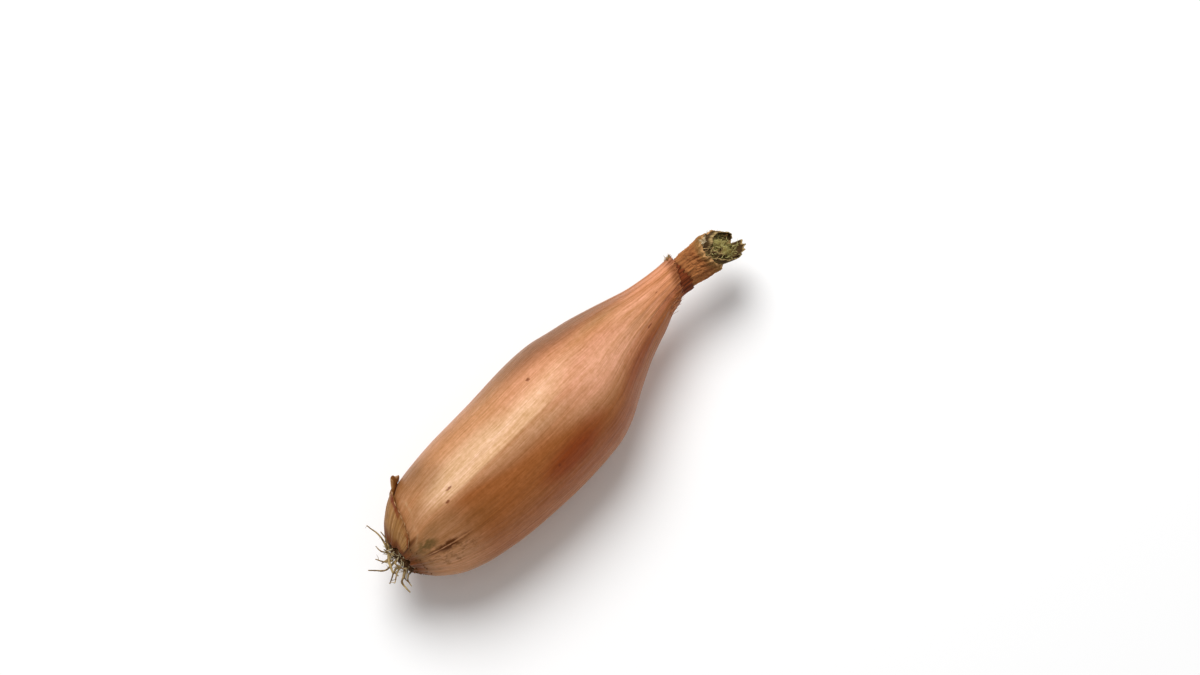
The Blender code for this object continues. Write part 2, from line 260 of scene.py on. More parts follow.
def stirred(tree, vector, scale, detail=1.0, rough=0.5):  # a random push either way along each axis
    noise = noiseOf(tree, vector, scale, detail, rough, output="Color")
    return vectorCalc(tree, "SUBTRACT", noise, (0.5, 0.5, 0.5))


def stretched(tree, flow, width, length):  # the flow in units of a pattern's own width and length
    across, down = calc(tree, "DIVIDE", 1.0, width), calc(tree, "DIVIDE", 1.0, length)
    return vectorCalc(tree, "MULTIPLY", flow, vectorOf(tree, across, across, down))


def newTree(name, kind, inputs, outputs):
    tree = bpy.data.node_groups.new(name, kind)
    for label, form, value in inputs:
        socket = tree.interface.new_socket(label, in_out="INPUT", socket_type="NodeSocket" + form)
        if value is not None:
            socket.default_value = value
    for label, form in outputs:
        tree.interface.new_socket(label, in_out="OUTPUT", socket_type="NodeSocket" + form)
    given = tree.nodes.new("NodeGroupInput")
    taken = tree.nodes.new("NodeGroupOutput")
    taken.location = (nodeStep[0] * (nodesPerRow + 1), 0)
    return tree, given.outputs, taken.inputs


# Geometry trees

def newGrowth(name, **sizes):
    inputs = [(label, "Int" if isinstance(value, int) else "Float", value) for label, value in sizes.items()]
    inputs = [("Geometry", "Geometry", None), *inputs, ("finish", "Material", None)]
    return newTree(name, "GeometryNodeTree", inputs, [("Geometry", "Geometry")])


def growOn(host, tree, finish, **settings):  # runs a geometry tree on the host and keeps the plain mesh
    modifier = host.modifiers.new(tree.name, "NODES")
    modifier.node_group = tree
    sockets = {item.name: item.identifier for item in tree.interface.items_tree if item.in_out == "INPUT"}
    modifier[sockets["finish"]] = finish
    for label, value in settings.items():
        modifier[sockets[label]] = value
    return settled(host)


def attribute(tree, label, kind="FLOAT"):
    return add(tree, "GeometryNodeInputNamedAttribute", {"Name": label}, data_type=kind).outputs["Attribute"]


def randomOf(tree, low, high, seed, kind="FLOAT"):
    node = add(tree, "FunctionNodeRandomValue", {"Min": low, "Max": high, "Seed": seed}, data_type=kind)
    return node.outputs["Value"]


def pushed(tree, geometry, direction, amount):
    offset = vectorCalc(tree, "SCALE", direction, amount)
    return add(tree, "GeometryNodeSetPosition", {"Geometry": geometry, "Offset": offset}).outputs[0]


def scattered(tree, surface, count, seed):  # about count points over the whole surface
    faceArea = add(tree, "GeometryNodeInputMeshFaceArea").outputs[0]
    area = add(tree, "GeometryNodeAttributeStatistic", {"Geometry": surface, "Attribute": faceArea},
               domain="FACE").outputs["Sum"]
    return add(tree, "GeometryNodeDistributePointsOnFaces", {
        "Mesh": surface, "Density": calc(tree, "DIVIDE", count, area), "Seed": seed}).outputs


def bentHair(tree, length, thickness, bend, bow, tip):  # a thin rod that leans over towards its tip
    length = times(tree, length, mm)
    line = add(tree, "GeometryNodeCurveQuadraticBezier", {
        "Resolution": 6, "Start": (0.0, 0.0, 0.0), "Middle": vectorOf(tree, z=times(tree, length, bow)),
        "End": vectorOf(tree, times(tree, length, bend), z=length)}).outputs[0]
    ring = add(tree, "GeometryNodeCurvePrimitiveCircle", {
        "Resolution": 4, "Radius": times(tree, thickness, 0.5 * mm)}).outputs[0]
    factor = add(tree, "GeometryNodeSplineParameter").outputs["Factor"]
    return add(tree, "GeometryNodeCurveToMesh", {
        "Curve": line, "Profile Curve": ring, "Scale": spread(tree, factor, 0.0, 1.0, 1.0, tip, "LINEAR"),
        "Fill Caps": True}).outputs[0]


def sealTree(tree, geometry, finish, taken):
    smooth = add(tree, "GeometryNodeSetShadeSmooth", {"Geometry": geometry}).outputs[0]
    real = add(tree, "GeometryNodeRealizeInstances", {"Geometry": smooth}).outputs[0]
    done = add(tree, "GeometryNodeSetMaterial", {"Geometry": real, "Material": finish}).outputs[0]
    tree.links.new(done, taken["Geometry"])
    return tree


# Folds along a skin and finer crinkles, both stronger where the skin's "loose" attribute is high
def makeWrinkleTree():
    tree, given, taken = newGrowth("wrinkles", foldWidth=3.0, foldLength=60.0, foldHeight=0.1,
                                   crinkleSize=1.5, crinkleHeight=0.05, seed=0.0)
    flow, loose, seed = attribute(tree, "flow", "FLOAT_VECTOR"), attribute(tree, "loose"), given["seed"]
    lanes = stretched(tree, flow, given["foldWidth"], given["foldLength"])
    cells = stretched(tree, flow, given["crinkleSize"], given["crinkleSize"])
    folds = minus(tree, noiseOf(tree, lanes, 1.0, 2.0, 0.45, seed), 0.5)
    crinkles = minus(tree, noiseOf(tree, cells, 1.0, 3.0, 0.6, seed), 0.5)
    both = plus(tree, times(tree, folds, given["foldHeight"]), times(tree, crinkles, given["crinkleHeight"]))
    normal = add(tree, "GeometryNodeInputNormal").outputs[0]
    height = times(tree, times(tree, both, loose), 2 * mm)
    return sealTree(tree, pushed(tree, given["Geometry"], normal, height), given["finish"], taken)


# Short bent fibres that stand along the host's "lie" attribute
def makeFibreTree():
    tree, given, taken = newGrowth("fibres", count=100.0, length=1.5, thickness=0.15, bend=0.3, splay=0.5,
                                   crook=0.2, seed=0)
    seed = given["seed"]
    points = scattered(tree, given["Geometry"], given["count"], seed)["Points"]
    fibre = bentHair(tree, given["length"], given["thickness"], given["bend"], 0.55, 0.25)
    wild = randomOf(tree, (-1.0, -1.0, -1.0), (1.0, 1.0, 1.0), seed, "FLOAT_VECTOR")
    lean = vectorCalc(tree, "ADD", attribute(tree, "lie", "FLOAT_VECTOR"),
                      vectorCalc(tree, "SCALE", wild, given["splay"]))
    roll = vectorOf(tree, z=randomOf(tree, 0.0, 2 * math.pi, plus(tree, seed, 1.0)))
    roll = add(tree, "FunctionNodeEulerToRotation", {0: roll}).outputs[0]
    aim = add(tree, "FunctionNodeAlignRotationToVector", {"Rotation": roll, "Vector": lean}, axis="Z")
    crowd = add(tree, "GeometryNodeInstanceOnPoints", {
        "Points": points, "Instance": fibre, "Rotation": aim.outputs[0],
        "Scale": randomOf(tree, 0.45, 1.25, plus(tree, seed, 2.0))}).outputs[0]
    tinted = add(tree, "GeometryNodeStoreNamedAttribute", {
        "Geometry": crowd, "Name": "tint", "Value": randomOf(tree, 0.0, 1.0, plus(tree, seed, 3.0))},
        data_type="FLOAT", domain="INSTANCE").outputs[0]
    real = add(tree, "GeometryNodeRealizeInstances", {"Geometry": tinted}).outputs[0]
    stir = stirred(tree, add(tree, "GeometryNodeInputPosition").outputs[0], 900.0)
    crooked = pushed(tree, real, stir, times(tree, given["crook"], 2 * mm))
    return sealTree(tree, crooked, given["finish"], taken)


# Dry roots along guide lines: kinked, tapered and knobbly, with hair roots on them
def makeRootTree():
    tree, given, taken = newGrowth("roots", kink=0.6, kinkSize=2.0, knobs=0.5, tip=0.3, hairs=60.0,
                                   hairLength=1.6, hairThickness=0.12, seed=0)
    lines = add(tree, "GeometryNodeMeshToCurve", {"Mesh": given["Geometry"]}).outputs[0]
    lines = add(tree, "GeometryNodeResampleCurve", {"Curve": lines, "Length": 0.35 * mm}, mode="LENGTH")
    factor = add(tree, "GeometryNodeSplineParameter").outputs["Factor"]
    place = add(tree, "GeometryNodeInputPosition").outputs[0]
    stir = stirred(tree, place, calc(tree, "DIVIDE", 1.0 / mm, given["kinkSize"]), 2.0, 0.6)
    amount = times(tree, spread(tree, factor, 0.0, 0.3), times(tree, given["kink"], 2 * mm))
    kinked = pushed(tree, lines.outputs[0], stir, amount)
    taper = spread(tree, factor, 0.0, 1.0, 1.0, given["tip"], "LINEAR")
    lumps = times(tree, minus(tree, noiseOf(tree, place, 1500.0, 1.0), 0.5), given["knobs"])
    width = times(tree, times(tree, taper, plus(tree, 1.0, lumps)), attribute(tree, "thick"))
    ring = add(tree, "GeometryNodeCurvePrimitiveCircle", {"Resolution": 8, "Radius": 0.5 * mm}).outputs[0]
    roots = add(tree, "GeometryNodeCurveToMesh", {
        "Curve": kinked, "Profile Curve": ring, "Scale": width, "Fill Caps": True}).outputs[0]
    spots = scattered(tree, roots, given["hairs"], given["seed"])
    hairs = add(tree, "GeometryNodeInstanceOnPoints", {
        "Points": spots["Points"], "Rotation": spots["Rotation"],
        "Instance": bentHair(tree, given["hairLength"], given["hairThickness"], 0.5, 0.6, 0.3),
        "Scale": randomOf(tree, 0.3, 1.3, given["seed"])}).outputs[0]
    both = add(tree, "GeometryNodeJoinGeometry")
    tree.links.new(hairs, both.inputs[0])
    tree.links.new(roots, both.inputs[0])
    return sealTree(tree, both.outputs[0], given["finish"], taken)


# Small lumps lying on the host's faces
def makeCrumbTree():
    tree, given, taken = newGrowth("crumbs", count=60.0, size=0.5, seed=0)
    seed = given["seed"]
    points = scattered(tree, given["Geometry"], given["count"], seed)["Points"]
    lump = add(tree, "GeometryNodeMeshIcoSphere", {
        "Radius": times(tree, given["size"], 0.5 * mm), "Subdivisions": 2}).outputs["Mesh"]
    wild = randomOf(tree, (0.0, 0.0, 0.0), (6.0, 6.0, 6.0), seed, "FLOAT_VECTOR")
    turned = add(tree, "FunctionNodeEulerToRotation", {0: wild}).outputs[0]
    size = randomOf(tree, (0.3, 0.3, 0.2), (1.1, 0.9, 0.7), seed, "FLOAT_VECTOR")
    crowd = add(tree, "GeometryNodeInstanceOnPoints", {
        "Points": points, "Instance": lump, "Rotation": turned, "Scale": size}).outputs[0]
    real = add(tree, "GeometryNodeRealizeInstances", {"Geometry": crowd}).outputs[0]
    stir = stirred(tree, add(tree, "GeometryNodeInputPosition").outputs[0], 2500.0)
    return sealTree(tree, pushed(tree, real, stir, 0.35 * mm), given["finish"], taken)


wrinkleTree, fibreTree = makeWrinkleTree(), makeFibreTree()
rootTree, crumbTree = makeRootTree(), makeCrumbTree()
print("geometry trees built")


# Shader groups

# Fine lengthwise streaks and the thin veins between them
def makeStreakGroup():
    tree, given, taken = newTree("skinStreaks", "ShaderNodeTree", [
        ("Flow", "Vector", None), ("Width", "Float", 2.0), ("Length", "Float", 40.0), ("Vein", "Float", 0.03),
        ("Seed", "Float", 0.0)], [("Streak", "Float"), ("Veins", "Float")])
    lanes = stretched(tree, given["Flow"], given["Width"], given["Length"])
    streak = noiseOf(tree, lanes, 1.0, 3.0, 0.62, given["Seed"])
    other = noiseOf(tree, lanes, 1.0, 1.0, 0.4, plus(tree, given["Seed"], 7.3))
    gap = calc(tree, "ABSOLUTE", minus(tree, other, 0.5))
    veins = minus(tree, 1.0, spread(tree, gap, 0.0, given["Vein"]))
    tree.links.new(streak, taken["Streak"])
    tree.links.new(veins, taken["Veins"])
    return tree


# Scattered flecks of dust and soil; Amount 0 gives none, 1 covers all
def makeFleckGroup():
    tree, given, taken = newTree("dustFlecks", "ShaderNodeTree", [
        ("Vector", "Vector", None), ("Size", "Float", 1.0), ("Amount", "Float", 0.3), ("Seed", "Float", 0.0)],
        [("Flecks", "Float")])
    cells = stretched(tree, given["Vector"], given["Size"], given["Size"])
    grains = noiseOf(tree, cells, 1.0, 4.0, 0.65, given["Seed"])
    level = spread(tree, given["Amount"], 0.0, 1.0, 0.78, 0.28, "LINEAR")
    flecks = spread(tree, minus(tree, grains, level), -0.04, 0.07)
    flecks = calc(tree, "MULTIPLY", flecks, spread(tree, given["Amount"], 0.0, 0.05), clamp=True)
    tree.links.new(flecks, taken["Flecks"])
    return tree


# One small mark at a place on the flow
def makeSpotGroup():
    tree, given, taken = newTree("skinSpot", "ShaderNodeTree", [
        ("Flow", "Vector", None), ("Place", "Vector", None), ("Width", "Float", 0.8),
        ("Length", "Float", 1.2)], [("Spot", "Float")])
    wobble = vectorCalc(tree, "SCALE", stirred(tree, given["Flow"], 1.6, 2.0), given["Width"])
    away = vectorCalc(tree, "ADD", vectorCalc(tree, "SUBTRACT", given["Flow"], given["Place"]), wobble)
    far = vectorCalc(tree, "LENGTH", stretched(tree, away, given["Width"], given["Length"]))
    tree.links.new(minus(tree, 1.0, spread(tree, far, 0.25, 0.7)), taken["Spot"])
    return tree


streakGroup, fleckGroup, spotGroup = makeStreakGroup(), makeFleckGroup(), makeSpotGroup()


def tone(red, green, blue):  # a colour by its screen values, 0 to 255
    levels = (c / 255.0 for c in (red, green, blue))
    return (*((c / 12.92 if c <= 0.04045 else ((c + 0.055) / 1.055) ** 2.4) for c in levels), 1.0)


def useGroup(tree, group, inputs):
    return add(tree, "ShaderNodeGroup", inputs, node_tree=group).outputs


def streaks(tree, flow, width, length, seed, vein=0.03):
    return useGroup(tree, streakGroup, {
        "Flow": flow, "Width": width, "Length": length, "Vein": vein, "Seed": seed})


def flecks(tree, vector, size, amount, seed):
    inputs = {"Vector": vector, "Size": size, "Amount": amount, "Seed": seed}
    return useGroup(tree, fleckGroup, inputs)["Flecks"]


def blend(tree, amount, below, above, kind="MIX"):
    node = add(tree, "ShaderNodeMix", {0: amount, 6: below, 7: above}, data_type="RGBA", blend_type=kind)
    return node.outputs[2]


def surfaceData(tree, label, output="Fac"):
    return add(tree, "ShaderNodeAttribute", attribute_name=label).outputs[output]


def inMm(tree):  # object coordinates in mm
    place = add(tree, "ShaderNodeTexCoord").outputs["Object"]
    return vectorCalc(tree, "SCALE", place, 1.0 / mm)


def newFinish(name, roughness=0.6, specular=0.08):
    material = bpy.data.materials.new(name)
    material.use_nodes = True
    tree = material.node_tree
    shader, output = tree.nodes["Principled BSDF"], tree.nodes["Material Output"]
    shader.location = (nodeStep[0] * (nodesPerRow + 1), 0)
    output.location = (nodeStep[0] * (nodesPerRow + 3), 0)
    shader.inputs["Roughness"].default_value = roughness
    shader.inputs["Specular IOR Level"].default_value = specular
    return material, tree, shader


# A finish's dictionary holds its tones, patterns and layers. A streak is (width, length, seed), a noise is
# (scale, detail, roughness, seed), and a layer is (mask, tone, where it starts, where it is full, weakest,
# strongest). The relief is (mask, depth in mm, strength), without the mask where it mixes several.
# A mask that no pattern is named for is read from the surface.

def patterns(tree, look, place):
    masks = {label: noiseOf(tree, place, *sizes) for label, sizes in look.get("noises", {}).items()}
    for label, sizes in look.get("streaks", {}).items():
        masks[label] = streaks(tree, place, *sizes)["Streak"]
    return masks


def maskOf(tree, masks, label):
    return masks[label] if label in masks else surfaceData(tree, label)


def layered(tree, look, masks, colour, layers="layers"):
    for label, above, *reach in look[layers]:
        mask = maskOf(tree, masks, label)
        colour = blend(tree, spread(tree, mask, *reach) if reach else mask, colour, look[above])
    return colour


def dress(tree, shader, colour, roughness=None, height=None, relief=0.1, strength=1.0):
    tree.links.new(colour, shader.inputs["Base Color"])
    if roughness is not None:
        tree.links.new(roughness, shader.inputs["Roughness"])
    if height is not None:
        bump = add(tree, "ShaderNodeBump", {"Height": height, "Strength": strength, "Distance": relief * mm})
        tree.links.new(bump.outputs[0], shader.inputs["Normal"])


def makeFinish(name, look):  # a finish that is only tones laid over each other
    material, tree, shader = newFinish(name, look["roughness"])
    place = surfaceData(tree, "flow", "Vector") if "streaks" in look else inMm(tree)
    masks = patterns(tree, look, place)
    label, depth, strength = look["relief"]
    dress(tree, shader, layered(tree, look, masks, look["light"]), None, masks[label], depth, strength)
    return material


copper = {
    "sheen": 0.35, "sheenTint": (1.0, 0.62, 0.34, 1.0),
    "gold": tone(200, 153, 115), "copper": tone(188, 130, 85), "ripeShadeTone": tone(150, 81, 28),
    "pink": tone(204, 134, 102), "neck": tone(203, 132, 92), "olive": tone(114, 74, 34),
    "rootEnd": tone(180, 120, 74), "rim": tone(118, 60, 26), "paintedSheen": tone(224, 183, 146),
    "glow": tone(232, 172, 138), "red": tone(130, 44, 2), "soil": tone(86, 52, 18), "scar": tone(84, 38, 2),
    "mark": tone(110, 48, 16), "smudge": tone(98, 76, 36), "film": tone(210, 172, 130),
    "vein": tone(128, 70, 32),
    "streaks": {"broad": (8.0, 150.0, 1.0), "middling": (2.8, 170.0, 2.0), "fine": (0.9, 60.0, 3.0),
                "silky": (0.42, 4.5, 8.0), "lanes": (2.3, 24.0, 7.0)},
    "noises": {"crepe": (0.9, 3.0, 0.6, 6.0), "cloud": (0.45, 3.0, 0.6, 9.0)},
    "veins": (2.4, 200.0, 4.0, 0.012), "soilFlecks": 1.6, "soilSeed": 5.0,
    # sheen and glow layers are painted highlight; past the ridge, red, dull and at the neck rim, painted
    # shade deepens the skin's tones
    "layers": (("broad", "copper", 0.36, 0.64), ("paintedSheen", "paintedSheen"), ("blush", "pink"),
               ("along", "neck", 84.0, 106.0, 0.0, 0.8), ("glow", "glow"), ("ripeAndShade", "ripeShadeTone"), ("red", "red"),
               ("dullAndShade", "olive"), ("along", "rootEnd", 21.0, 7.0, 0.0, 0.6),
               ("rootEnd", "olive", 9.0, 2.0, 0.0, 0.8), ("plateRim", "rim", 5.2, 2.6, 0.0, 0.85),
               ("neckRim", "rim")),
    "neckRim": (0.34, 0.60, 0.3, 0.9), "rootWander": 2.0, "rimWander": 0.8,
    # how far each streak lightens and darkens the skin
    "contrast": (("middling", 0.07), ("fine", 0.15), ("silky", 0.17), ("crepe", 0.12)),
    "laneContrast": 0.34, "lanesFrom": (76.0, 98.0), "laneHeight": 1.4,
    "dirt": (("veins", "vein", 0.0, 1.0, 0.0, 0.13, "LINEAR"), ("filmEdge", "film"), ("smudges", "smudge"),
             ("flecks", "soil", 0.0, 1.0, 0.0, 0.4, "LINEAR"), ("scars", "scar")),
    # broken up by a pattern: (start, full, weakest, strongest)
    "filmEdge": (0.38, 0.58, 0.0, 0.4), "smudges": (0.30, 0.62, 0.0, 0.8), "scars": (0.78, 1.08, 0.0, 0.85),
    "heights": (("middling", 0.5), ("silky", 0.6)), "fineHeight": 0.6, "veinDepth": 0.15,
    "relief": (0.22, 0.6), "rough": (0.34, 0.50), "silkyRough": (-0.06, 0.08), "soilRough": 0.3,
    # small marks: (along, degrees, width, length)
    "marks": ((56.6, 24.0, 1.0, 1.2), (21.0, 3.4, 0.7, 1.8), (18.3, -4.4, 0.7, 1.4), (46.8, -46.0, 0.8, 1.0),
              (92.9, -37.0, 1.1, 2.2), (100.9, -2.0, 0.6, 0.8), (38.0, 128.0, 0.9, 1.2),
              (64.0, -150.0, 1.0, 1.4), (72.0, 96.0, 0.7, 1.1)),
    "markStrength": 0.8,
}


def shaded(tree, colour, streak, contrast, amount=1.0):  # pale streaks turn silvery, painting in glints of sheen, and dark ones rich
    pale, dark = ([1.0 + side * contrast * share for share in (0.9, 1.1, 1.8)] + [1.0] for side in (1, -1))
    return blend(tree, amount, colour, blend(tree, sway(tree, streak, 0.0, 1.0), pale, dark), "MULTIPLY")


def makeCopperSkin():
    material, tree, shader = newFinish("copperSkin", specular=copper["sheen"])
    shader.inputs["Specular Tint"].default_value = copper["sheenTint"]
    flow = surfaceData(tree, "flow", "Vector")
    masks = patterns(tree, copper, flow)
    fine, middling, silky, lanes = (masks[label] for label in ("fine", "middling", "silky", "lanes"))
    veins = streaks(tree, flow, *copper["veins"])["Veins"]
    soil = flecks(tree, flow, copper["soilFlecks"], surfaceData(tree, "soil"), copper["soilSeed"])
    along = add(tree, "ShaderNodeSeparateXYZ", {0: flow}).outputs[2]

    def broken(label, pattern, sizes):  # a mark on the surface, broken up by a pattern
        return times(tree, surfaceData(tree, label), spread(tree, pattern, *copper[sizes]))

    masks.update(
        along=along, veins=veins, flecks=soil,
        rootEnd=plus(tree, along, sway(tree, middling, -copper["rootWander"], copper["rootWander"])),
        plateRim=plus(tree, along, sway(tree, fine, -copper["rimWander"], copper["rimWander"])),
        neckRim=broken("edge", middling, "neckRim"), filmEdge=broken("film", fine, "filmEdge"),
        smudges=broken("smudge", masks["cloud"], "smudges"),
        scars=broken("scar", plus(tree, fine, masks["cloud"]), "scars"))

    colour = layered(tree, copper, masks, copper["gold"])
    for label, contrast in copper["contrast"]:
        colour = shaded(tree, colour, masks[label], contrast)
    colour = shaded(tree, colour, lanes, copper["laneContrast"], spread(tree, along, *copper["lanesFrom"]))
    colour = layered(tree, copper, masks, colour, "dirt")
    for at, degrees, width, length in copper["marks"]:
        place = Vector(flowOf(at, math.radians(degrees)))
        spot = useGroup(tree, spotGroup, {"Flow": flow, "Place": place, "Width": width, "Length": length})
        colour = blend(tree, times(tree, spot["Spot"], copper["markStrength"]), colour, copper["mark"])

    rough = plus(tree, sway(tree, fine, *copper["rough"]), sway(tree, silky, *copper["silkyRough"]))
    rough = plus(tree, rough, times(tree, soil, copper["soilRough"]))
    height = times(tree, fine, copper["fineHeight"])
    for label, amount in copper["heights"]:
        height = plus(tree, height, times(tree, masks[label], amount))
    gathers = spread(tree, along, *copper["lanesFrom"], 0.0, copper["laneHeight"])
    height = plus(tree, height, times(tree, lanes, gathers))
    height = minus(tree, height, times(tree, veins, copper["veinDepth"]))
    dress(tree, shader, colour, rough, height, *copper["relief"])
    return material


loosePaper = {
    "light": tone(172, 124, 72), "dark": tone(118, 76, 32), "edge": tone(210, 168, 122),
    "fold": tone(120, 52, 16), "foot": tone(104, 52, 24), "silver": tone(196, 150, 112),
    "streaks": {"middling": (1.5, 30.0, 11.0), "fine": (0.5, 18.0, 12.0)},
    "noises": {"cloud": (0.35, 3.0, 0.6, 13.0)},
    "layers": (("middling", "dark", 0.30, 0.70, 0.0, 0.7), ("cloud", "dark", 0.50, 0.66, 0.0, 0.6),
               ("fine", "dark", 0.50, 0.68, 0.0, 0.5), ("fine", "silver", 0.46, 0.34, 0.0, 0.6),
               # the fold line is the rolled edge's own red-brown with painted shadow along it; the pale edge
               # is partly the paper's paleness, partly painted highlight
               ("footLine", "foot", 0.22, 0.06, 0.0, 0.85), ("foldLine", "fold"), ("rolledTip", "dark"),
               ("paleEdge", "edge")),
    "footWander": (-0.1, 0.1), "foldWander": (-0.09, 0.05), "foldLine": (0.50, 0.61, 0.0, 0.9),
    "rolledTip": (0.76, 0.86, 0.0, 0.8), "paleEdge": (0.88, 1.0), "paleGaps": (0.42, 0.60, 0.0, 0.8),
    "rough": (0.45, 0.65), "relief": (0.2, 0.6),
}


def makeLoosePaper():
    material, tree, shader = newFinish("loosePaper")
    masks = patterns(tree, loosePaper, surfaceData(tree, "flow", "Vector"))
    edge, folded = surfaceData(tree, "edge"), surfaceData(tree, "folded")
    fine, middling = masks["fine"], masks["middling"]
    blurred = plus(tree, edge, sway(tree, masks["cloud"], *loosePaper["foldWander"]))
    masks.update(
        footLine=plus(tree, edge, sway(tree, fine, *loosePaper["footWander"])),
        foldLine=times(tree, spread(tree, blurred, *loosePaper["foldLine"]), folded),
        rolledTip=times(tree, spread(tree, edge, *loosePaper["rolledTip"]), folded),
        paleEdge=times(tree, spread(tree, edge, *loosePaper["paleEdge"]),
                       spread(tree, middling, *loosePaper["paleGaps"])))
    colour = layered(tree, loosePaper, masks, loosePaper["light"])
    rough = sway(tree, fine, *loosePaper["rough"])
    dress(tree, shader, colour, rough, plus(tree, fine, middling), *loosePaper["relief"])
    return material


sheathLook = {
    "brown": tone(168, 108, 62), "dark": tone(92, 48, 22), "pale": tone(192, 146, 96),
    "green": tone(126, 104, 58),
    "streaks": {"middling": (9.0, 12.0, 31.0), "fine": (3.0, 26.0, 32.0), "cross": (12.0, 1.2, 33.0)},
    "layers": (("middling", "dark", 0.42, 0.70, 0.0, 0.8), ("fine", "dark", 0.5, 0.68, 0.0, 0.7),
               ("fine", "pale", 0.46, 0.3, 0.0, 0.5), ("cross", "dark", 0.52, 0.66, 0.0, 0.4),
               # the sheath's foot, just past the torn skins, is darkened by painted shadow; the green towards
               # its rim is its own colour
               ("edge", "dark", 0.40, 0.30, 0.0, 0.7), ("edge", "green", 0.72, 1.0, 0.0, 0.6),
               ("rimFlecks", "pale", 0.0, 1.0, 0.0, 0.9, "LINEAR")),
    "rimFlecks": (0.86, 1.0, 0.0, 0.75), "fleckSize": 2.4, "fleckSeed": 34.0,
    "roughness": 0.8, "crossHeight": 0.8, "relief": (0.35, 0.9),
}


def makeDrySheath():
    material, tree, shader = newFinish("drySheath", sheathLook["roughness"])
    flow = surfaceData(tree, "flow", "Vector")
    masks = patterns(tree, sheathLook, flow)
    nearRim = spread(tree, surfaceData(tree, "edge"), *sheathLook["rimFlecks"])
    masks["rimFlecks"] = flecks(tree, flow, sheathLook["fleckSize"], nearRim, sheathLook["fleckSeed"])
    colour = layered(tree, sheathLook, masks, sheathLook["brown"])
    height = plus(tree, masks["fine"], times(tree, masks["cross"], sheathLook["crossHeight"]))
    dress(tree, shader, colour, None, height, *sheathLook["relief"])
    return material


leafLook = {
    "light": tone(142, 124, 74), "dark": tone(84, 64, 34), "brown": tone(58, 36, 20),
    "pale": tone(184, 156, 104),
    "streaks": {"fine": (2.0, 16.0, 41.0)}, "roughness": 0.85, "relief": (0.3, 0.9),
    "layers": (("fine", "dark", 0.36, 0.64), ("edge", "brown", 0.55, 0.80, 0.0, 0.85), ("paleRim", "pale")),
    "paleRim": (0.90, 0.98), "paleGaps": (0.60, 0.45, 0.2, 0.9),
}


def makeDryLeaf():
    material, tree, shader = newFinish("dryLeaf", leafLook["roughness"])
    masks = patterns(tree, leafLook, surfaceData(tree, "flow", "Vector"))
    masks["paleRim"] = times(tree, spread(tree, surfaceData(tree, "edge"), *leafLook["paleRim"]),
                             spread(tree, masks["fine"], *leafLook["paleGaps"]))
    colour = layered(tree, leafLook, masks, leafLook["light"])
    dress(tree, shader, colour, None, masks["fine"], *leafLook["relief"])
    return material


redSkin = {
    "light": tone(130, 62, 30), "dark": tone(78, 34, 14), "pale": tone(176, 112, 66), "roughness": 0.7,
    "streaks": {"middling": (1.6, 20.0, 21.0)}, "relief": ("middling", 0.2, 0.8),
    "layers": (("middling", "dark", 0.35, 0.65), ("middling", "pale", 0.42, 0.25, 0.0, 0.5)),
}

# the hollow tone darkens the moss in the dent beside the sheath's rim: painted shade
mossyLeafBase = {
    "light": tone(184, 174, 106), "dark": tone(128, 108, 56), "pit": tone(62, 44, 24),
    "pale": tone(206, 190, 142), "hollow": tone(98, 54, 36), "roughness": 0.95, "relief": ("grain", 0.5, 1.0),
    "noises": {"patches": (0.5, 3.0, 0.6), "grain": (2.4, 3.0, 0.7)},
    "layers": (("patches", "dark", 0.36, 0.62), ("grain", "pit", 0.54, 0.68, 0.0, 0.8),
               ("grain", "pale", 0.42, 0.30, 0.0, 0.7), ("hollow", "hollow", 0.3, 0.8, 0.0, 0.85)),
}

corkyPlate = {
    "light": tone(112, 80, 48), "dark": tone(72, 44, 22), "pit": tone(50, 28, 12), "pale": tone(156, 128, 88),
    "noises": {"patches": (0.6, 3.0, 0.6), "grain": (2.4, 4.0, 0.7)},
    "roughness": 0.95, "relief": ("grain", 0.5, 1.0),
    "layers": (("patches", "dark", 0.36, 0.62), ("grain", "pale", 0.44, 0.30, 0.0, 0.7),
               ("grain", "pit", 0.54, 0.68, 0.0, 0.7)),
}

wiryRoot = {
    "light": tone(190, 164, 116), "dark": tone(118, 90, 52), "pit": tone(62, 44, 28),
    "pale": tone(212, 198, 166), "roughness": 0.85, "relief": ("grain", 0.2, 0.9),
    "noises": {"patches": (0.45, 2.0, 0.6), "grain": (3.0, 3.0, 0.7)},
    "layers": (("patches", "dark", 0.38, 0.60), ("grain", "pit", 0.54, 0.68, 0.0, 0.7),
               ("grain", "pale", 0.42, 0.30, 0.0, 0.6)),
}

fibreLook = {"noises": {"grain": (2.0, 2.0, 0.6)}, "roughness": 0.85, "relief": ("grain", 0.1, 0.6),
             "layers": (("tint", "dark"), ("grain", "dark", 0.52, 0.7, 0.0, 0.6))}
fibreTones = {  # each kind of fibre: (name, light, dark)
    "mossFibre": ("mossFibre", tone(210, 200, 134), tone(116, 100, 48)),
    "strawFibre": ("strawFibre", tone(206, 174, 122), tone(112, 76, 42)),
    "copperFibre": ("copperFibre", tone(216, 146, 96), tone(150, 84, 46)),
    "paleFibre": ("paleFibre", tone(232, 218, 188), tone(176, 148, 104)),
    "rootFibre": ("rootFibre", tone(206, 190, 152), tone(88, 64, 38)),
    "soil": ("soilCrumb", tone(106, 70, 38), tone(56, 34, 18)),
}

finishes = {
    "skin": makeCopperSkin(), "paper": makeLoosePaper(), "red": makeFinish("redSkin", redSkin),
    "sheath": makeDrySheath(), "moss": makeFinish("mossyLeafBase", mossyLeafBase), "leaf": makeDryLeaf(),
    "plate": makeFinish("corkyPlate", corkyPlate), "root": makeFinish("wiryRoot", wiryRoot),
}
for label, (name, light, dark) in fibreTones.items():
    finishes[label] = makeFinish(name, {**fibreLook, "light": light, "dark": dark})
print("finishes made:", ", ".join(sorted(finishes)))


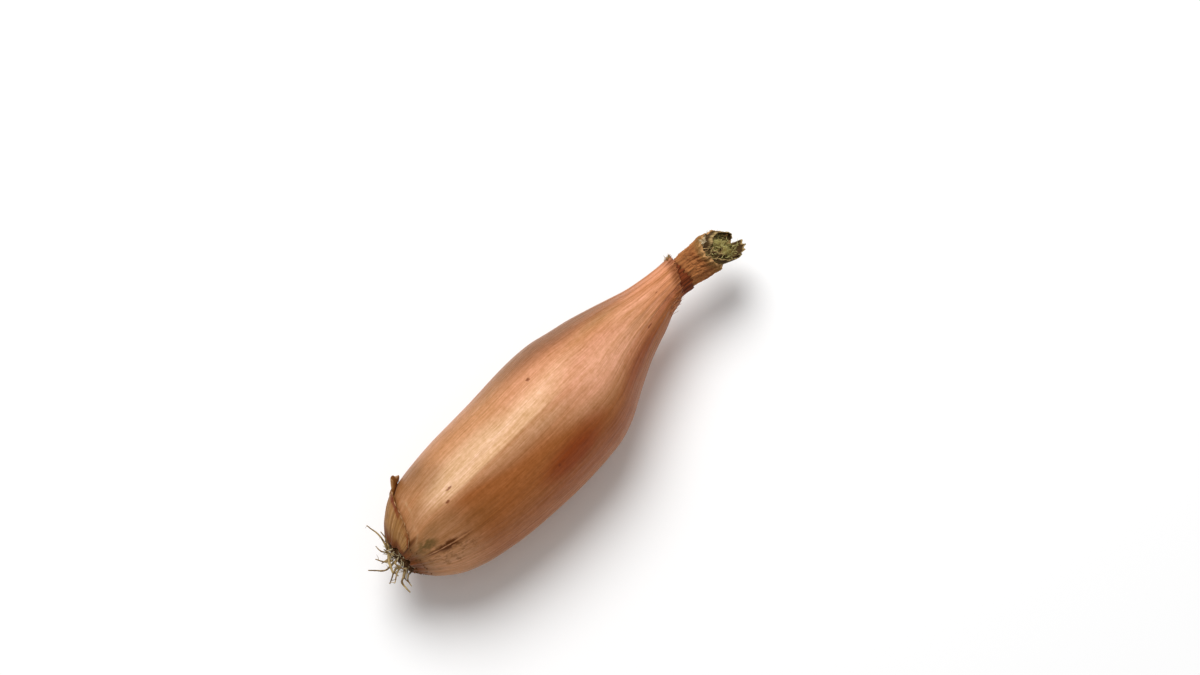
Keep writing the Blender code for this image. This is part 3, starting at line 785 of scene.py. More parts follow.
# The bulb's outer skin
bulb = {
    "outline": ((1.9, 5.25), (3.2, 7.0), (5.6, 9.9), (11.1, 13.9), (16.7, 15.8), (22.5, 16.9), (30.0, 17.8),
                (42.0, 18.4), (56.0, 18.8), (66.0, 18.2), (72.0, 16.7), (78.0, 14.6), (84.0, 12.3),
                (90.0, 10.1), (97.0, 7.85), (104.0, 6.1), (109.0, 5.45)),  # (along, radius)
    "bend": ((0.0, 0.9), (11.0, 0.7), (20.0, 0.1), (42.0, -0.4), (60.0, 0.3), (72.0, 0.9), (80.0, 2.2),
             (88.0, 3.1), (97.0, 3.5), (104.0, 3.8), (112.0, 4.1)),  # (along, how far the middle strays)
    "seat": ((3.3, 4.2), (2.9, 4.8), (2.3, 4.97)),  # the dimple for the basal plate
    "socket": ((109.0, 5.15), (108.4, 4.95), (107.5, 4.85), (104.0, 4.75)),  # behind the torn rim
    "rows": 300, "sides": 306, "samples": 4000,
    # a long soft ridge where the bulb leaned on its neighbour
    "ridgeLine": ((8.0, -3.0), (24.0, -3.4), (38.0, -3.0), (51.0, -3.0), (66.0, -6.0), (80.0, -8.8),
                  (98.0, -10.5)),  # (along, degrees)
    "ridgeHeight": 0.078, "ridgeSpread": 21.0,
    "ridgeRound": ((8.0, 4.0), (18.0, 0.8), (50.0, 1.0), (66.0, 4.0), (98.0, 9.0)),
    "ridgeReach": ((8.0, 0.0), (18.0, 1.0), (44.0, 1.0), (60.0, 0.4), (78.0, 0.15), (98.0, 0.0)),
    "rootTeeth": 0.30, "rootFray": 6.0, "rimSlant": (3.2, 1.1), "rimTeeth": 0.36, "rimFrom": 96.0,
    "rimFlare": 0.2,
    # how loose the skin is: on the belly, how much more at the neck and at the roots, and where that begins
    "loose": (0.25, 0.75, 0.5), "looseNeck": (80.0, 104.0), "looseRoots": (12.0, 3.0),
    "folds": {"foldWidth": 2.6, "foldLength": 70.0, "foldHeight": 0.30, "crinkleSize": 7.0,
              "crinkleHeight": 0.16, "seed": 3.0},
}
bulbStart, bulbEnd = bulb["outline"][0][0], bulb["outline"][-1][0]


def rimShift(turn):
    side, top = bulb["rimSlant"]
    teeth = bulb["rimTeeth"] * ripples(turn, 0.0, 5, turns=(5, 26), count=16)
    return side * np.sin(turn) + top * np.cos(turn) + teeth


def bulbPoint(along, turn):
    radius = through(bulb["outline"], along)
    ridge = awayFrom(turn, through(bulb["ridgeLine"], along))
    blunt = np.radians(through(bulb["ridgeRound"], along))
    ridge = np.sqrt(ridge**2 + blunt**2) - blunt
    swell = bulb["ridgeHeight"] * through(bulb["ridgeReach"], along)
    radius = radius * (1.0 + swell * np.exp(-ridge / math.radians(bulb["ridgeSpread"])))
    torn = ease(bulb["rimFrom"], bulbEnd, along)
    radius = radius + bulb["rimFlare"] * torn**3 * np.maximum(0.0, np.sin(turn)) ** 2
    middle = through(bulb["bend"], along)
    frayed = bulb["rootTeeth"] * ease(bulb["rootFray"], bulbStart, along)
    along = along + frayed * ripples(turn, 0.0, 7, turns=(4, 24), count=16) + torn * rimShift(turn)
    return toFrame(along, middle + radius * np.sin(turn), radius * np.cos(turn))


def bulbDirections(along, turn):  # unit vectors: away from the roots, and straight out of the skin
    step, twist = 0.1, 0.01
    forward = unit(bulbPoint(along + step, turn) - bulbPoint(along - step, turn))
    around = bulbPoint(along, turn + twist) - bulbPoint(along, turn - twist)
    return forward, unit(np.cross(forward, around))


skinMarks = {  # soft ovals: (along, degrees, reach, width, strength)
    "soil": ((5.0, -62.0, 3.2, 6.0, 0.30), (9.5, -55.0, 6.5, 6.0, 0.52), (16.0, -52.0, 5.5, 4.2, 0.46),
             (12.5, -46.0, 7.0, 2.6, 0.52), (3.6, 160.0, 2.4, 12.0, 0.5), (13.0, 200.0, 7.0, 5.0, 0.4),
             (70.0, 165.0, 8.0, 4.0, 0.36)),
    "smudge": ((7.4, -26.0, 2.9, 4.0, 1.2), (9.4, -16.0, 3.4, 3.2, 0.3), (4.4, -30.0, 2.4, 6.0, 0.45),
               (3.2, 120.0, 2.6, 16.0, 0.6), (24.0, 150.0, 9.0, 5.0, 0.35), (88.0, -100.0, 7.0, 4.0, 0.3)),
    "scar": ((8.0, -38.5, 2.6, 1.3, 1.0), (11.4, -38.5, 3.4, 2.0, 1.4), (15.4, -39.0, 3.0, 1.2, 0.75),
             (4.2, -8.0, 3.0, 1.4, 1.0), (2.6, -52.0, 2.2, 4.2, 0.8), (22.0, 172.0, 5.0, 1.3, 0.8)),
    # the pale patches below are painted sheen: bands where the skin faces the light
    "paintedSheen": ((30.0, 8.0, 20.0, 6.5, 0.75), (52.0, 4.0, 22.0, 5.5, 0.6), (66.0, 2.0, 14.0, 5.0, 0.5),
             (48.0, 120.0, 30.0, 8.0, 0.5), (40.0, -168.0, 24.0, 6.0, 0.4), (32.0, -105.0, 28.0, 7.0, 0.5)),
    "blush": ((74.0, -8.0, 20.0, 9.0, 0.7), (62.0, 30.0, 16.0, 7.0, 0.4), (98.0, 20.0, 12.0, 22.0, 0.4),
              (50.0, 150.0, 26.0, 14.0, 0.35), (84.0, -140.0, 14.0, 14.0, 0.45),
              (88.0, -42.0, 14.0, 7.0, 0.6)),
    # glow patches: painted highlight where the skin turns to face the light
    "glow": ((76.0, -13.0, 15.0, 5.0, 0.62), (56.0, 19.0, 14.0, 4.0, 0.3), (92.0, 6.0, 12.0, 5.0, 0.3)),
    # darker olive patches: partly the skin's own colour, partly painted shadow beside the flap and along the
    # upper flank
    "dullAndShade": ((12.0, -22.0, 8.0, 6.5, 0.42), (19.0, -32.0, 9.0, 5.0, 0.35), (18.0, 31.0, 7.0, 6.0, 0.45),
             (15.0, 50.0, 9.0, 11.0, 0.62), (10.0, 100.0, 11.0, 12.0, 0.6), (9.0, 18.0, 7.0, 5.0, 0.35),
             (70.0, 58.0, 26.0, 9.0, 0.66), (84.0, 44.0, 12.0, 8.0, 0.3), (14.0, -104.0, 14.0, 7.0, 0.3)),
    # dark red patches: the skin's own red-brown, deepened by painted shadow
    "red": ((52.0, -49.0, 12.0, 4.8, 0.75), (59.0, -43.0, 8.0, 4.0, 0.4), (84.0, -54.0, 12.0, 4.0, 0.5),
            (60.0, -66.0, 26.0, 5.0, 0.35), (76.0, 47.0, 22.0, 6.0, 0.5), (103.0, -36.0, 8.0, 4.0, 0.35),
            (56.0, -150.0, 22.0, 8.0, 0.3)),
}
paintedSheenSides = ((-2.5, 0.5), (-90.0, -100.0))  # degrees past the ridge where the painted sheen patches come in
rimShade = (3.6, 1.0)  # mm before the torn rim: where its painted shade starts to darken the skin, and where it is darkest
film = {  # the torn edge of a paler outermost film
    "edge": ((-19.0, 5.9), (2.0, 8.3), (19.0, 10.5), (38.0, 11.0)),  # (degrees, along)
    "wave": 0.5, "width": 0.35, "first": (-22.0, -14.0), "last": (42.0, 36.0), "faintest": 0.3,
    "breaks": (-0.4, 0.6),
}
ripeAndShadedSide = {  # the side past the ridge, riper skin darkened further by painted shade, and a fainter painted shade on the far side
    "line": ((8.0, -2.0), (24.0, -2.4), (45.0, -1.0), (54.0, -8.0), (64.0, -21.0), (84.0, -25.0),
             (104.0, -28.0)),  # (along, degrees where it begins)
    "soft": ((8.0, 9.0), (24.0, 11.0), (42.0, 26.0), (104.0, 27.0)), "back": (-125.0, -85.0),
    "rootFade": (6.0, 24.0), "strength": 0.9, "farSide": (34.0, 74.0), "farStrength": 0.45,
}


def seatRow(x, radius, turn):
    return toFrame(x, through(bulb["bend"], 0.0) + radius * np.sin(turn), radius * np.cos(turn))


def filmLine(along, turn, degrees):
    line = np.interp(degrees, *zip(*film["edge"])) + film["wave"] * ripples(turn, 0.0, 21, turns=(6, 20))
    onEdge = ease(*film["first"], degrees) * ease(*film["last"], degrees)
    broken = between((film["faintest"], 1.0), ease(*film["breaks"], ripples(turn, along, 23)))
    return np.exp(-(((along - line) / film["width"]) ** 2)) * onEdge * broken


def ripenessAndShade(along, degrees):
    past = (through(ripeAndShadedSide["line"], along) - degrees) / through(ripeAndShadedSide["soft"], along)
    past = ease(0.0, 1.0, past) * ease(*ripeAndShadedSide["back"], degrees) * ease(*ripeAndShadedSide["rootFade"], along)
    return ripeAndShadedSide["strength"] * past + ripeAndShadedSide["farStrength"] * ease(*ripeAndShadedSide["farSide"], degrees)


def makeOuterSkin():
    turn = roundTurns(bulb["sides"])
    fine = np.linspace(bulbStart, bulbEnd, bulb["samples"])
    steps = np.hypot(np.diff(fine), np.diff(through(bulb["outline"], fine)))
    length = np.concatenate([[0], np.cumsum(steps)])
    along = np.interp(np.linspace(0, length[-1], bulb["rows"]), length, fine)[:, None]
    rows = [seatRow(x, r, turn) for x, r in bulb["seat"]]
    rows += [bulbPoint(along, turn)]
    rows += [socketPoint(x, r, turn) for x, r in bulb["socket"]]
    points = np.concatenate(rows)
    seat, socket = len(bulb["seat"]), len(bulb["socket"])
    along = np.concatenate([np.full((seat, 1), bulbStart), along, np.full((socket, 1), bulbEnd)])
    turns = np.broadcast_to(turn, points.shape[:2])
    data = {label: ovals(along, turn, spots) for label, spots in skinMarks.items()}
    data["flow"] = flowOf(along, turn)
    belly, neckMore, rootMore = bulb["loose"]
    data["loose"] = (belly + neckMore * ease(*bulb["looseNeck"], along)
                     + rootMore * ease(*bulb["looseRoots"], along) + 0 * turns)
    data["loose"][:seat] = 0.0
    data["loose"][-socket:] = 0.0
    degrees = np.degrees(awayFrom(turns, 0.0))
    pastRidge = degrees - through(bulb["ridgeLine"], along)
    # painted sheen, kept to the side of the ridge that faces the light and to the far underside
    data["paintedSheen"] = sum(data["paintedSheen"] * ease(*side, pastRidge) for side in paintedSheenSides)
    data["edge"] = ease(bulbEnd - rimShade[0], bulbEnd - rimShade[1], along) + 0 * turns
    data["film"] = filmLine(along, turn, degrees)
    # painted shade on the side away from the light and on the far flank, over riper skin
    data["ripeAndShade"] = ripenessAndShade(along, degrees)
    poles = [seatRow(bulb["seat"][0][0], 0.0, 0.0), socketPoint(bulb["socket"][-1][0], 0.0, 0.0)]
    skin = newSheet("outerSkin", points, data, poles=poles)
    growOn(skin, wrinkleTree, finishes["skin"], **bulb["folds"])
    places = np.empty(len(skin.data.vertices) * 3, np.float32)
    skin.data.vertices.foreach_get("co", places)
    places[2::3] = np.maximum(places[2::3], 0.0)  # the belly's flat lies on the floor
    skin.data.vertices.foreach_set("co", places)
    return standIn(skin, "outer_skin", "bulb")


# The neck: a torn second skin, a dry sheath, leaf edges and the leaf bases in its open end
neck = {
    "bend": ((103.0, 3.75), (109.0, 4.0), (113.0, 3.7), (117.0, 3.2), (122.0, 2.4), (128.0, 1.4),
             (133.0, 0.8)),
    "slant": 1.1, "slantFrom": 112.0, "slantFull": 126.5,  # the open end faces up and away from the roots
}


def socketPoint(along, radius, turn):
    torn = ease(bulb["socket"][-1][0], bulb["socket"][0][0], along)
    side = through(neck["bend"], along) + radius * np.sin(turn)
    return toFrame(along + torn * rimShift(turn), side, radius * np.cos(turn))


def neckPoint(along, radius, turn):
    slant = neck["slant"] * ease(neck["slantFrom"], neck["slantFull"], along)
    up, side = radius * np.cos(turn), through(neck["bend"], along) + radius * np.sin(turn)
    return toFrame(along - slant * up, side, up)


makeOuterSkin()

innerSkin = {"outline": ((104.5, 4.6), (109.0, 4.68), (111.5, 4.78)), "rows": 26, "sides": 150, "ragged": 0.4,
             "wall": 0.14, "loose": (0.3, 0.9),
             "folds": {"foldWidth": 4.0, "foldLength": 30.0, "foldHeight": 0.45, "crinkleSize": 3.0,
                       "crinkleHeight": 0.3, "seed": 8.0}}


def makeInnerSkin():
    turn, share = roundTurns(innerSkin["sides"]), shares(innerSkin["rows"])
    start, end = innerSkin["outline"][0][0], innerSkin["outline"][-1][0]
    rim = end + innerSkin["ragged"] * ripples(turn, 0.0, 31, turns=(3, 24), count=18)
    along = between((start, rim), share)
    points = neckPoint(along, through(innerSkin["outline"], along), turn)
    skin = newSheet("innerSkin", points, sheetData(along, turn, share, innerSkin["loose"]))
    growOn(skin, wrinkleTree, finishes["red"], **innerSkin["folds"])
    return standIn(thicken(skin, innerSkin["wall"]), "inner_skin", "inner_skin")


sheath = {
    "outline": ((104.8, 3.6), (109.0, 3.95), (112.0, 4.4), (115.0, 4.7), (118.6, 5.0), (122.0, 5.4),
                (125.7, 5.6)),
    "rows": 120, "sides": 260, "wall": 0.32, "ragged": 0.42, "notch": 1.7, "notchFrom": 0.9,
    "loose": (0.25, 0.5),
    # the rim is lower on the side that faces up and torn away on the -Y side: (degrees, spread, depth)
    "dips": ((-20.0, 45.0, 0.8), (-112.0, 62.0, 5.6)),
    "folds": {"foldWidth": 4.5, "foldLength": 11.0, "foldHeight": 1.3, "crinkleSize": 2.6,
              "crinkleHeight": 0.9, "seed": 5.0},
}


def makeNeckSheath():
    turn, share = roundTurns(sheath["sides"]), shares(sheath["rows"])
    start, end = sheath["outline"][0][0], sheath["outline"][-1][0]
    tears = np.maximum(0.0, ripples(turn, 0.0, 44, turns=(3, 9)) - sheath["notchFrom"])
    dip = sum(depth * hump(turn, facing, width) for facing, width, depth in sheath["dips"])
    rim = end - dip + sheath["ragged"] * ripples(turn, 0.0, 41, turns=(3, 20), count=18)
    along = between((start, rim - sheath["notch"] * tears), share)
    points = neckPoint(along, through(sheath["outline"], along), turn)
    tube = newSheet("neckSheath", points, sheetData(along, turn, share, sheath["loose"]))
    growOn(tube, wrinkleTree, finishes["sheath"], **sheath["folds"])
    return standIn(thicken(tube, sheath["wall"]), "dry_sheath", "neck_sheath")


stub = {"outline": ((119.2, 2.3), (120.5, 3.0), (123.7, 3.35), (124.9, 2.8), (125.5, 1.4)),
        "rows": 70, "sides": 110, "crown": 0.15, "loose": (121.0, 123.5),
        "hollow": (-34.0, 30.0, 0.42),  # a dent in its side: (degrees, spread, share of its radius)
        "hollowFrom": (120.5, 123.0), "hollowShade": 24.0,
        "folds": {"foldWidth": 6.0, "foldLength": 4.0, "foldHeight": 2.0, "crinkleSize": 2.0,
                  "crinkleHeight": 1.2, "seed": 15.0}}


def makeLeafStub():
    turn = roundTurns(stub["sides"])
    start, end = stub["outline"][0][0], stub["outline"][-1][0]
    along = np.linspace(start, end, stub["rows"])[:, None]
    facing, width, depth = stub["hollow"]
    dent = 1.0 - depth * ease(*stub["hollowFrom"], along) * hump(turn, facing, width)
    points = neckPoint(along, through(stub["outline"], along) * dent, turn)
    # the hollow attribute marks where the dent gets painted shade
    data = {"flow": flowOf(along, turn), "loose": ease(*stub["loose"], along) + 0 * turn,
            "hollow": hump(turn, facing, stub["hollowShade"]) + 0 * along}
    poles = [neckPoint(start, 0.0, 0.0), neckPoint(end + stub["crown"], 0.0, 0.0)]
    plug = newSheet("leafStub", points, data, poles=poles)
    growOn(plug, wrinkleTree, finishes["moss"], **stub["folds"])
    return standIn(plug, "leaf_stub", "leaf_stub")


dryLeaves = {
    # radius at its foot and at its rim, first and last degrees, how far out it reaches, torn rim, inward curl
    "leaves": ((4.28, 5.4, 15.0, 172.0, 127.3, 0.16, 1.5), (4.28, 5.4, 205.0, 345.0, 125.7, 0.5, 0.0),
               (3.6, 3.5, -70.0, 100.0, 125.9, 0.6, 0.0), (3.6, 4.8, 183.0, 262.0, 127.3, 0.6, 0.0)),
    "start": 119.2, "rows": 36, "step": 2.0, "wall": 0.22, "loose": (0.3, 0.7),
    "corner": 0.12, "cornerDrop": 1.2,  # a leaf is lower towards its two sides
    "curlFrom": 0.7, "widenFrom": 0.1,
    "folds": {"foldWidth": 6.0, "foldLength": 16.0, "foldHeight": 0.4, "crinkleSize": 4.0,
              "crinkleHeight": 0.4, "seed": 25.0},
}


def makeLeafEdge(number, foot, tip, first, last, reach, ragged, curl):
    turn = np.radians(np.arange(first, last + 0.1, dryLeaves["step"]))[None]
    share = shares(dryLeaves["rows"])
    across, corner = (np.degrees(turn) - first) / (last - first), dryLeaves["corner"]
    crown = ease(0.0, corner, across) * ease(1.0, 1.0 - corner, across)
    rim = reach - dryLeaves["cornerDrop"] * (1 - crown)
    rim = rim + ragged * ripples(turn, 0.0, 50 + number, turns=(3, 22), count=20)
    along = between((dryLeaves["start"], rim), share)
    curled = np.maximum(0.0, (share - dryLeaves["curlFrom"]) / (1.0 - dryLeaves["curlFrom"]))
    radius = between((foot, tip), ease(dryLeaves["widenFrom"], 1.0, share)) - curl * curled**2
    data = sheetData(along, turn, share, dryLeaves["loose"])
    leaf = newSheet(f"dryLeaf{number}", neckPoint(along, radius, turn), data, closed=False)
    growOn(leaf, wrinkleTree, finishes["leaf"], **dryLeaves["folds"])
    return standIn(thicken(leaf, dryLeaves["wall"]), "dry_leaf", f"dry_leaf_{number:02d}")


makeInnerSkin()
makeNeckSheath()
makeLeafStub()
for number, leaf in enumerate(dryLeaves["leaves"], 1):
    makeLeafEdge(number, *leaf)


# The corky plate that the roots come from
plate = {"outline": ((3.0, 3.7), (2.6, 4.5), (2.0, 4.6), (1.4, 4.1), (1.0, 2.7)), "rows": 44, "sides": 96,
         "loose": (2.6, 2.0), "flowScale": 4,
         "folds": {"foldWidth": 7.0, "foldLength": 7.0, "foldHeight": 0.4, "crinkleSize": 4.0,
                   "crinkleHeight": 0.5, "seed": 35.0}}


def makeBasalPlate():
    turn = roundTurns(plate["sides"])
    knots = np.array(plate["outline"])
    spacing = np.concatenate([[0], np.cumsum(np.hypot(*np.diff(knots, axis=0).T))])
    steps = np.linspace(0, spacing[-1], plate["rows"])
    along = through(tuple(zip(spacing, knots[:, 0])), steps)[:, None]
    radius = through(tuple(zip(spacing, knots[:, 1])), steps)[:, None]
    points, wide = seatRow(along, radius, turn), radius * plate["flowScale"]
    flow = np.broadcast_arrays(wide * np.cos(turn), wide * np.sin(turn), along * plate["flowScale"])
    data = {"flow": np.stack(flow, -1)[::-1], "loose": ease(*plate["loose"], along[::-1]) + 0 * turn}
    poles = [seatRow(plateFace, 0.0, 0.0), seatRow(plate["outline"][0][0], 0.0, 0.0)]
    disc = newSheet("basalPlate", points[::-1], data, poles=poles)
    growOn(disc, wrinkleTree, finishes["plate"], **plate["folds"])
    return standIn(disc, "corky_plate", "basal_plate")


makeBasalPlate()


# The loose flap over the +Y side of the root end: it hugs the bulb, then rolls up along its free edge
flap = {
    "start": 2.3, "gap": 0.28, "wall": 0.12, "rows": 90, "columns": 260, "flatShare": 0.7, "ragged": 0.2,
    "loose": (0.15, 0.8),
    # (degrees round the bulb, how far along the free edge lies)
    "edge": ((-9.0, 3.9), (0.0, 5.4), (15.0, 6.8), (30.0, 8.4), (46.0, 9.9), (58.0, 11.6), (62.0, 12.2),
             (66.0, 13.4), (73.0, 15.2), (79.0, 13.6), (88.0, 12.2), (100.0, 11.0), (125.0, 8.4),
             (150.0, 4.4)),
    # (degrees, length of the rolled edge)
    "roll": ((-9.0, 0.2), (0.0, 0.4), (30.0, 0.7), (50.0, 1.2), (57.0, 1.5), (61.0, 4.0), (64.0, 3.8),
             (68.0, 2.6), (76.0, 1.4), (92.0, 1.1), (110.0, 0.9), (150.0, 0.4)),
    "rollTurn": ((-9.0, 15.0), (30.0, 55.0), (52.0, 105.0), (57.0, 92.0), (62.0, 85.0), (68.0, 75.0),
                 (76.0, 50.0), (88.0, 60.0), (110.0, 60.0), (150.0, 30.0)),  # (degrees, how far it rolls up)
    "folded": ((-9.0, 1.0), (2.0, 0.8), (12.0, 0.25), (26.0, 0.3), (38.0, 1.0), (80.0, 1.0),
               (100.0, 0.35), (150.0, 0.35)),  # (degrees, how dark the fold line is: its brown and the painted shadow along it)
    "folds": {"foldWidth": 4.0, "foldLength": 16.0, "foldHeight": 0.4, "crinkleSize": 3.0,
              "crinkleHeight": 0.35, "seed": 9.0},
}


def makeSkinFlap():
    degrees = np.linspace(flap["edge"][0][0], flap["edge"][-1][0], flap["columns"])[None]
    turn, share = np.radians(degrees), shares(flap["rows"])
    edge = through(flap["edge"], degrees)
    edge = edge + flap["ragged"] * ripples(turn * 2, 0.0, 61, turns=(3, 16), count=16)
    along = between((flap["start"], edge), np.minimum(share / flap["flatShare"], 1.0))
    forward, out = bulbDirections(along, turn)
    base = bulbPoint(along, turn) + out * flap["gap"] * mm
    rolled = np.maximum(share - flap["flatShare"], 0.0) / (1 - flap["flatShare"])
    bendTo = np.radians(through(flap["rollTurn"], degrees))
    radius = through(flap["roll"], degrees) * mm / bendTo
    angle = (bendTo * rolled)[..., None]
    points = base + radius[..., None] * (np.sin(angle) * forward + (1 - np.cos(angle)) * out)
    data = sheetData(along + rolled * through(flap["roll"], degrees), turn, share, flap["loose"])
    data["folded"] = through(flap["folded"], degrees) + 0 * share
    sheet = newSheet("skinFlap", points, data, closed=False)
    growOn(sheet, wrinkleTree, finishes["paper"], **flap["folds"])
    return standIn(thicken(sheet, flap["wall"], 0.0), "loose_skin", "skin_flap")


makeSkinFlap()

# Roots: thickness at the plate, then points (along, side, up)
roots = {
    "paths": (
        (0.62, ((0.8, 4.9, 0.9), (1.7, 8.4, 2.8), (0.9, 12.4, 5.0))),
        (0.53, ((0.9, 4.1, 2.9), (2.2, 6.8, 4.1), (2.4, 8.8, 4.3))),
        (1.12, ((0.2, 3.5, 1.6), (-1.6, 1.4, 3.2), (-2.9, -1.3, 2.6))),
        (0.65, ((0.2, 1.3, 0.2), (-1.6, 1.1, 0.9), (-3.8, 1.2, 1.6), (-7.0, 3.8, 3.3))),
        (0.58, ((0.2, 3.2, -0.9), (-0.9, 3.3, -0.5), (-2.8, 3.4, 0.4))),
        (0.62, ((0.2, 0.5, 3.3), (-0.9, -0.4, 4.3), (-0.4, -2.6, 4.4), (0.8, -3.2, 3.1))),
        (0.78, ((0.3, -2.2, 0.4), (-1.2, -3.3, 0.5), (-2.6, -4.1, 0.0), (-2.8, -7.3, -1.0))),
        (0.50, ((0.5, -3.2, -1.0), (-0.8, -4.3, -1.2), (-1.3, -6.2, -2.0))),
        (0.55, ((0.3, -1.9, -2.3), (-0.8, -3.0, -3.2), (-0.6, -4.6, -4.6))),
        (0.60, ((0.3, 0.3, -1.6), (-2.0, -0.1, -2.2), (-4.6, -1.2, -3.6))),
        (0.70, ((0.3, 0.6, -3.6), (-1.1, 0.8, -5.4), (-0.9, 0.2, -8.8))),
        (0.55, ((0.3, 2.6, -2.8), (-1.3, 4.1, -4.0), (-2.2, 6.6, -5.2))),
        (0.50, ((0.7, 4.6, -1.7), (-0.2, 7.0, -2.8), (0.2, 9.3, -5.2))),
        (0.58, ((0.2, -0.9, 1.9), (-1.9, -1.7, 1.4), (-4.4, -3.4, 2.4))),
        (0.47, ((0.3, 2.6, 0.2), (-2.2, 3.0, 1.6), (-3.5, 4.8, 2.6))),
        (0.53, ((0.5, 2.0, 3.6), (-0.4, 3.4, 5.5), (-0.9, 3.7, 8.2))),
    ),
    "steps": 8,
    "growth": {"kink": 0.24, "kinkSize": 2.8, "knobs": 0.5, "tip": 0.45, "hairs": 24.0, "hairLength": 1.3,
               "hairThickness": 0.18, "seed": 4},
}


def makeRoots():
    verts, edges, widths = [], [], []
    for thickness, path in roots["paths"]:
        places = np.array(path)
        count = roots["steps"] * (len(path) - 1) + 1
        steps = np.linspace(0, len(path) - 1, count)
        along, side, up = (through(tuple(enumerate(axis)), steps) for axis in places.T)
        first = len(verts)
        verts += toFrame(along, side, up).tolist()
        edges += [(first + k, first + k + 1) for k in range(count - 1)]
        widths += [thickness] * count
    mesh = bpy.data.meshes.new("dryRoots")
    mesh.from_pydata(verts, edges, [])
    mesh.attributes.new("thick", "FLOAT", "POINT").data.foreach_set("value", widths)
    lines = growOn(newObject("dryRoots", mesh), rootTree, finishes["root"], **roots["growth"])
    return standIn(lines, "dry_root", *(f"root_{k:02d}" for k in range(1, len(roots["paths"]) + 1)))


makeRoots()


# Fibres: each bed is a patch of surface; lie mixes the way along the shallot with the way out of it
growthSizes = ("count", "length", "thickness", "bend", "splay", "crook", "seed")  # the order in each "growth"
beds = {
    "tipFibres": {"slot": "leaf_stub", "finish": "mossFibre", "surface": "neck", "along": (124.0, 125.3),
                  "radius": (3.5, 0.2), "degrees": (0.0, 360.0), "lie": (0.8, 0.3),
                  "growth": (230.0, 1.3, 0.30, 0.6, 1.2, 0.4, 2)},
    "tipFringe": {"slot": "leaf_stub", "finish": "mossFibre", "surface": "neck", "along": (124.4, 125.3),
                  "radius": (4.9, 3.0), "degrees": (90.0, 310.0), "lie": (0.9, 0.5),
                  "growth": (44.0, 1.9, 0.24, 0.7, 0.8, 0.6, 12)},
    "sheathFrays": {"slot": "dry_sheath", "finish": "strawFibre", "surface": "neck", "along": (122.4, 125.0),
                    "radius": (5.3, 5.3), "degrees": (-40.0, 115.0), "lie": (0.9, 0.35),
                    "growth": (34.0, 1.3, 0.22, 0.3, 0.7, 0.3, 3)},
    "tipTuft": {"slot": "dry_sheath", "finish": "paleFibre", "surface": "neck", "along": (124.6, 126.0),
                "radius": (5.2, 5.2), "degrees": (26.0, 50.0), "lie": (0.3, 0.8),
                "growth": (22.0, 1.7, 0.5, 0.4, 0.7, 0.4, 14)},
    "rimTuft": {"slot": "outer_skin", "finish": "strawFibre", "surface": "bulb", "along": (107.8, 108.9),
                "degrees": (54.0, 104.0), "lie": (0.8, 0.6), "growth": (62.0, 1.1, 0.2, 0.4, 0.6, 0.2, 5)},
    "rimFrays": {"slot": "outer_skin", "finish": "copperFibre", "surface": "bulb", "along": (107.6, 108.9),
                 "degrees": (0.0, 360.0), "lie": (1.0, 0.15), "growth": (44.0, 1.0, 0.16, 0.2, 0.3, 0.15, 6)},
    "neckFrays": {"slot": "outer_skin", "finish": "copperFibre", "surface": "bulb", "along": (101.5, 107.5),
                  "degrees": (-82.0, -28.0), "lie": (1.0, 0.22),
                  "growth": (28.0, 2.3, 0.16, 0.12, 0.14, 0.2, 7)},
    "rootStubs": {"slot": "dry_root", "finish": "rootFibre", "surface": "plate", "along": (1.9, 1.0),
                  "radius": (4.4, 0.5), "degrees": (0.0, 360.0), "lie": (-0.8, 0.7),
                  "growth": (66.0, 2.3, 0.42, 0.4, 0.9, 0.35, 8)},
}
bedRows, bedColumns = 8, 60


def bedSurface(bed):
    turn, share = np.radians(np.linspace(*bed["degrees"], bedColumns))[None], shares(bedRows)
    along = between(bed["along"], share)
    if bed["surface"] == "bulb":
        return bulbPoint(along, turn), turn
    radius = between(bed["radius"], share)
    pointOn = neckPoint if bed["surface"] == "neck" else seatRow
    return pointOn(along, radius, turn), turn


def makeFibres(name, bed):
    points, turn = bedSurface(bed)
    along, out = bed["lie"]
    turns = np.broadcast_to(turn, points.shape[:2])
    lie = np.stack([along + 0 * turns, out * np.sin(turns), out * np.cos(turns)], -1)
    host = newSheet(name, points, {"lie": lie}, closed=False)
    growth = dict(zip(growthSizes, bed["growth"]))
    return standIn(growOn(host, fibreTree, finishes[bed["finish"]], **growth), bed["slot"])


for name, bed in beds.items():
    makeFibres(name, bed)


crumbs = {"along": (2.0, 4.6), "rows": 6, "columns": 90, "growth": {"count": 110.0, "size": 0.6, "seed": 3}}


def makeCrumbs():
    turn = np.radians(np.linspace(-180.0, 180.0, crumbs["columns"]))[None]
    along = np.linspace(*crumbs["along"], crumbs["rows"])[:, None]
    host = newSheet("soilCrumbs", bulbPoint(along, turn), {}, closed=False)
    return standIn(growOn(host, crumbTree, finishes["soil"], **crumbs["growth"]), "corky_plate")


makeCrumbs()
print("pieces done")


# Studio: a pale floor, a big soft light over the +Y side and a white room
studio = {"floor": (0.94, 0.94, 0.94, 1.0), "floorSize": 3.0, "floorRoughness": 0.9,
          "keyFrom": (0.22, 0.50, 1.0), "keyDistance": 1.5, "keySize": 1.1, "keyPower": 20.5,
          "room": 0.41, "roomColour": (1.0, 1.0, 1.0, 1.0)}


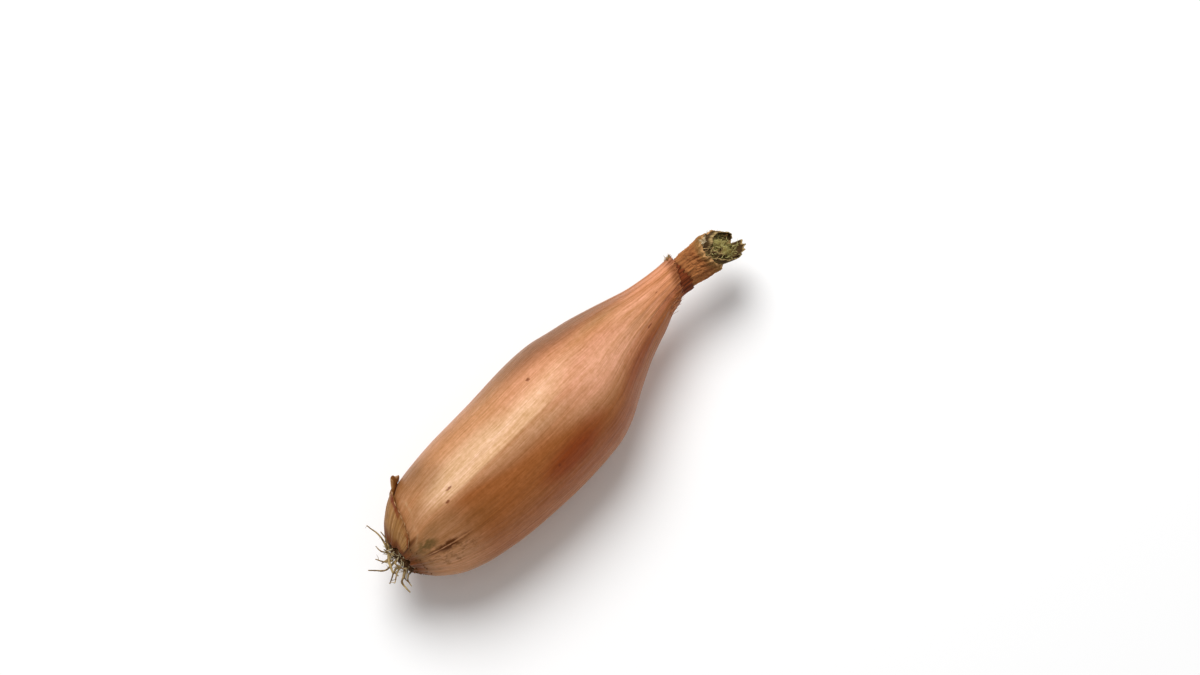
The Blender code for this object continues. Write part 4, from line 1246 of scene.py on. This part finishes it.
def makeStudio():
    half = studio["floorSize"] / 2
    corners = [(-half, -half, 0.0), (half, -half, 0.0), (half, half, 0.0), (-half, half, 0.0)]
    mesh = bpy.data.meshes.new("floor")
    mesh.from_pydata(corners, [], [(0, 1, 2, 3)])
    floor = newObject("floor", mesh)
    material, tree, shader = newFinish("paleFloor", studio["floorRoughness"])
    shader.inputs["Base Color"].default_value = studio["floor"]
    mesh.materials.append(material)

    light = bpy.data.lights.new("key", "AREA")
    light.shape, light.size, light.energy = "DISK", studio["keySize"], studio["keyPower"]
    lamp = bpy.data.objects.new("key", light)
    toLight = Vector(studio["keyFrom"]).normalized()
    lamp.location = toLight * studio["keyDistance"]
    lamp.rotation_euler = toLight.to_track_quat("Z", "Y").to_euler()
    bpy.context.scene.collection.objects.link(lamp)

    world = bpy.data.worlds.new("room")
    world.use_nodes = True
    glow = world.node_tree.nodes["Background"].inputs
    glow["Color"].default_value, glow["Strength"].default_value = studio["roomColour"], studio["room"]
    bpy.context.scene.world = world
    bpy.context.scene.view_settings.view_transform = "Standard"


# Looking down at 70 degrees, with the root end at the lower left and the neck at the upper right
view = {"azimuth": -45.45, "elevation": 70.0, "distance": 0.763, "lens": 85.0, "sensor": 36.0, "along": 62.98,
        "right": 9.03, "up": 17.9}


def makeCamera():
    turn, lift = math.radians(view["azimuth"]), math.radians(view["elevation"])
    out = Vector((math.sin(turn) * math.cos(lift), -math.cos(turn) * math.cos(lift), math.sin(lift)))
    camera = bpy.data.objects.new("camera", bpy.data.cameras.new("camera"))
    camera.data.lens, camera.data.sensor_width = view["lens"], view["sensor"]
    camera.rotation_euler = out.to_track_quat("Z", "Y").to_euler()
    right = Vector((0.0, 0.0, 1.0)).cross(out).normalized()
    upward = out.cross(right)
    middle = Vector(toFrame(view["along"], 0.0, 0.0))
    target = middle + right * view["right"] * mm + upward * view["up"] * mm
    camera.location = target + out * view["distance"]
    bpy.context.scene.collection.objects.link(camera)
    bpy.context.scene.camera = camera
    print("camera looks from", tuple(round(c, 4) for c in out))


makeStudio()
makeCamera()
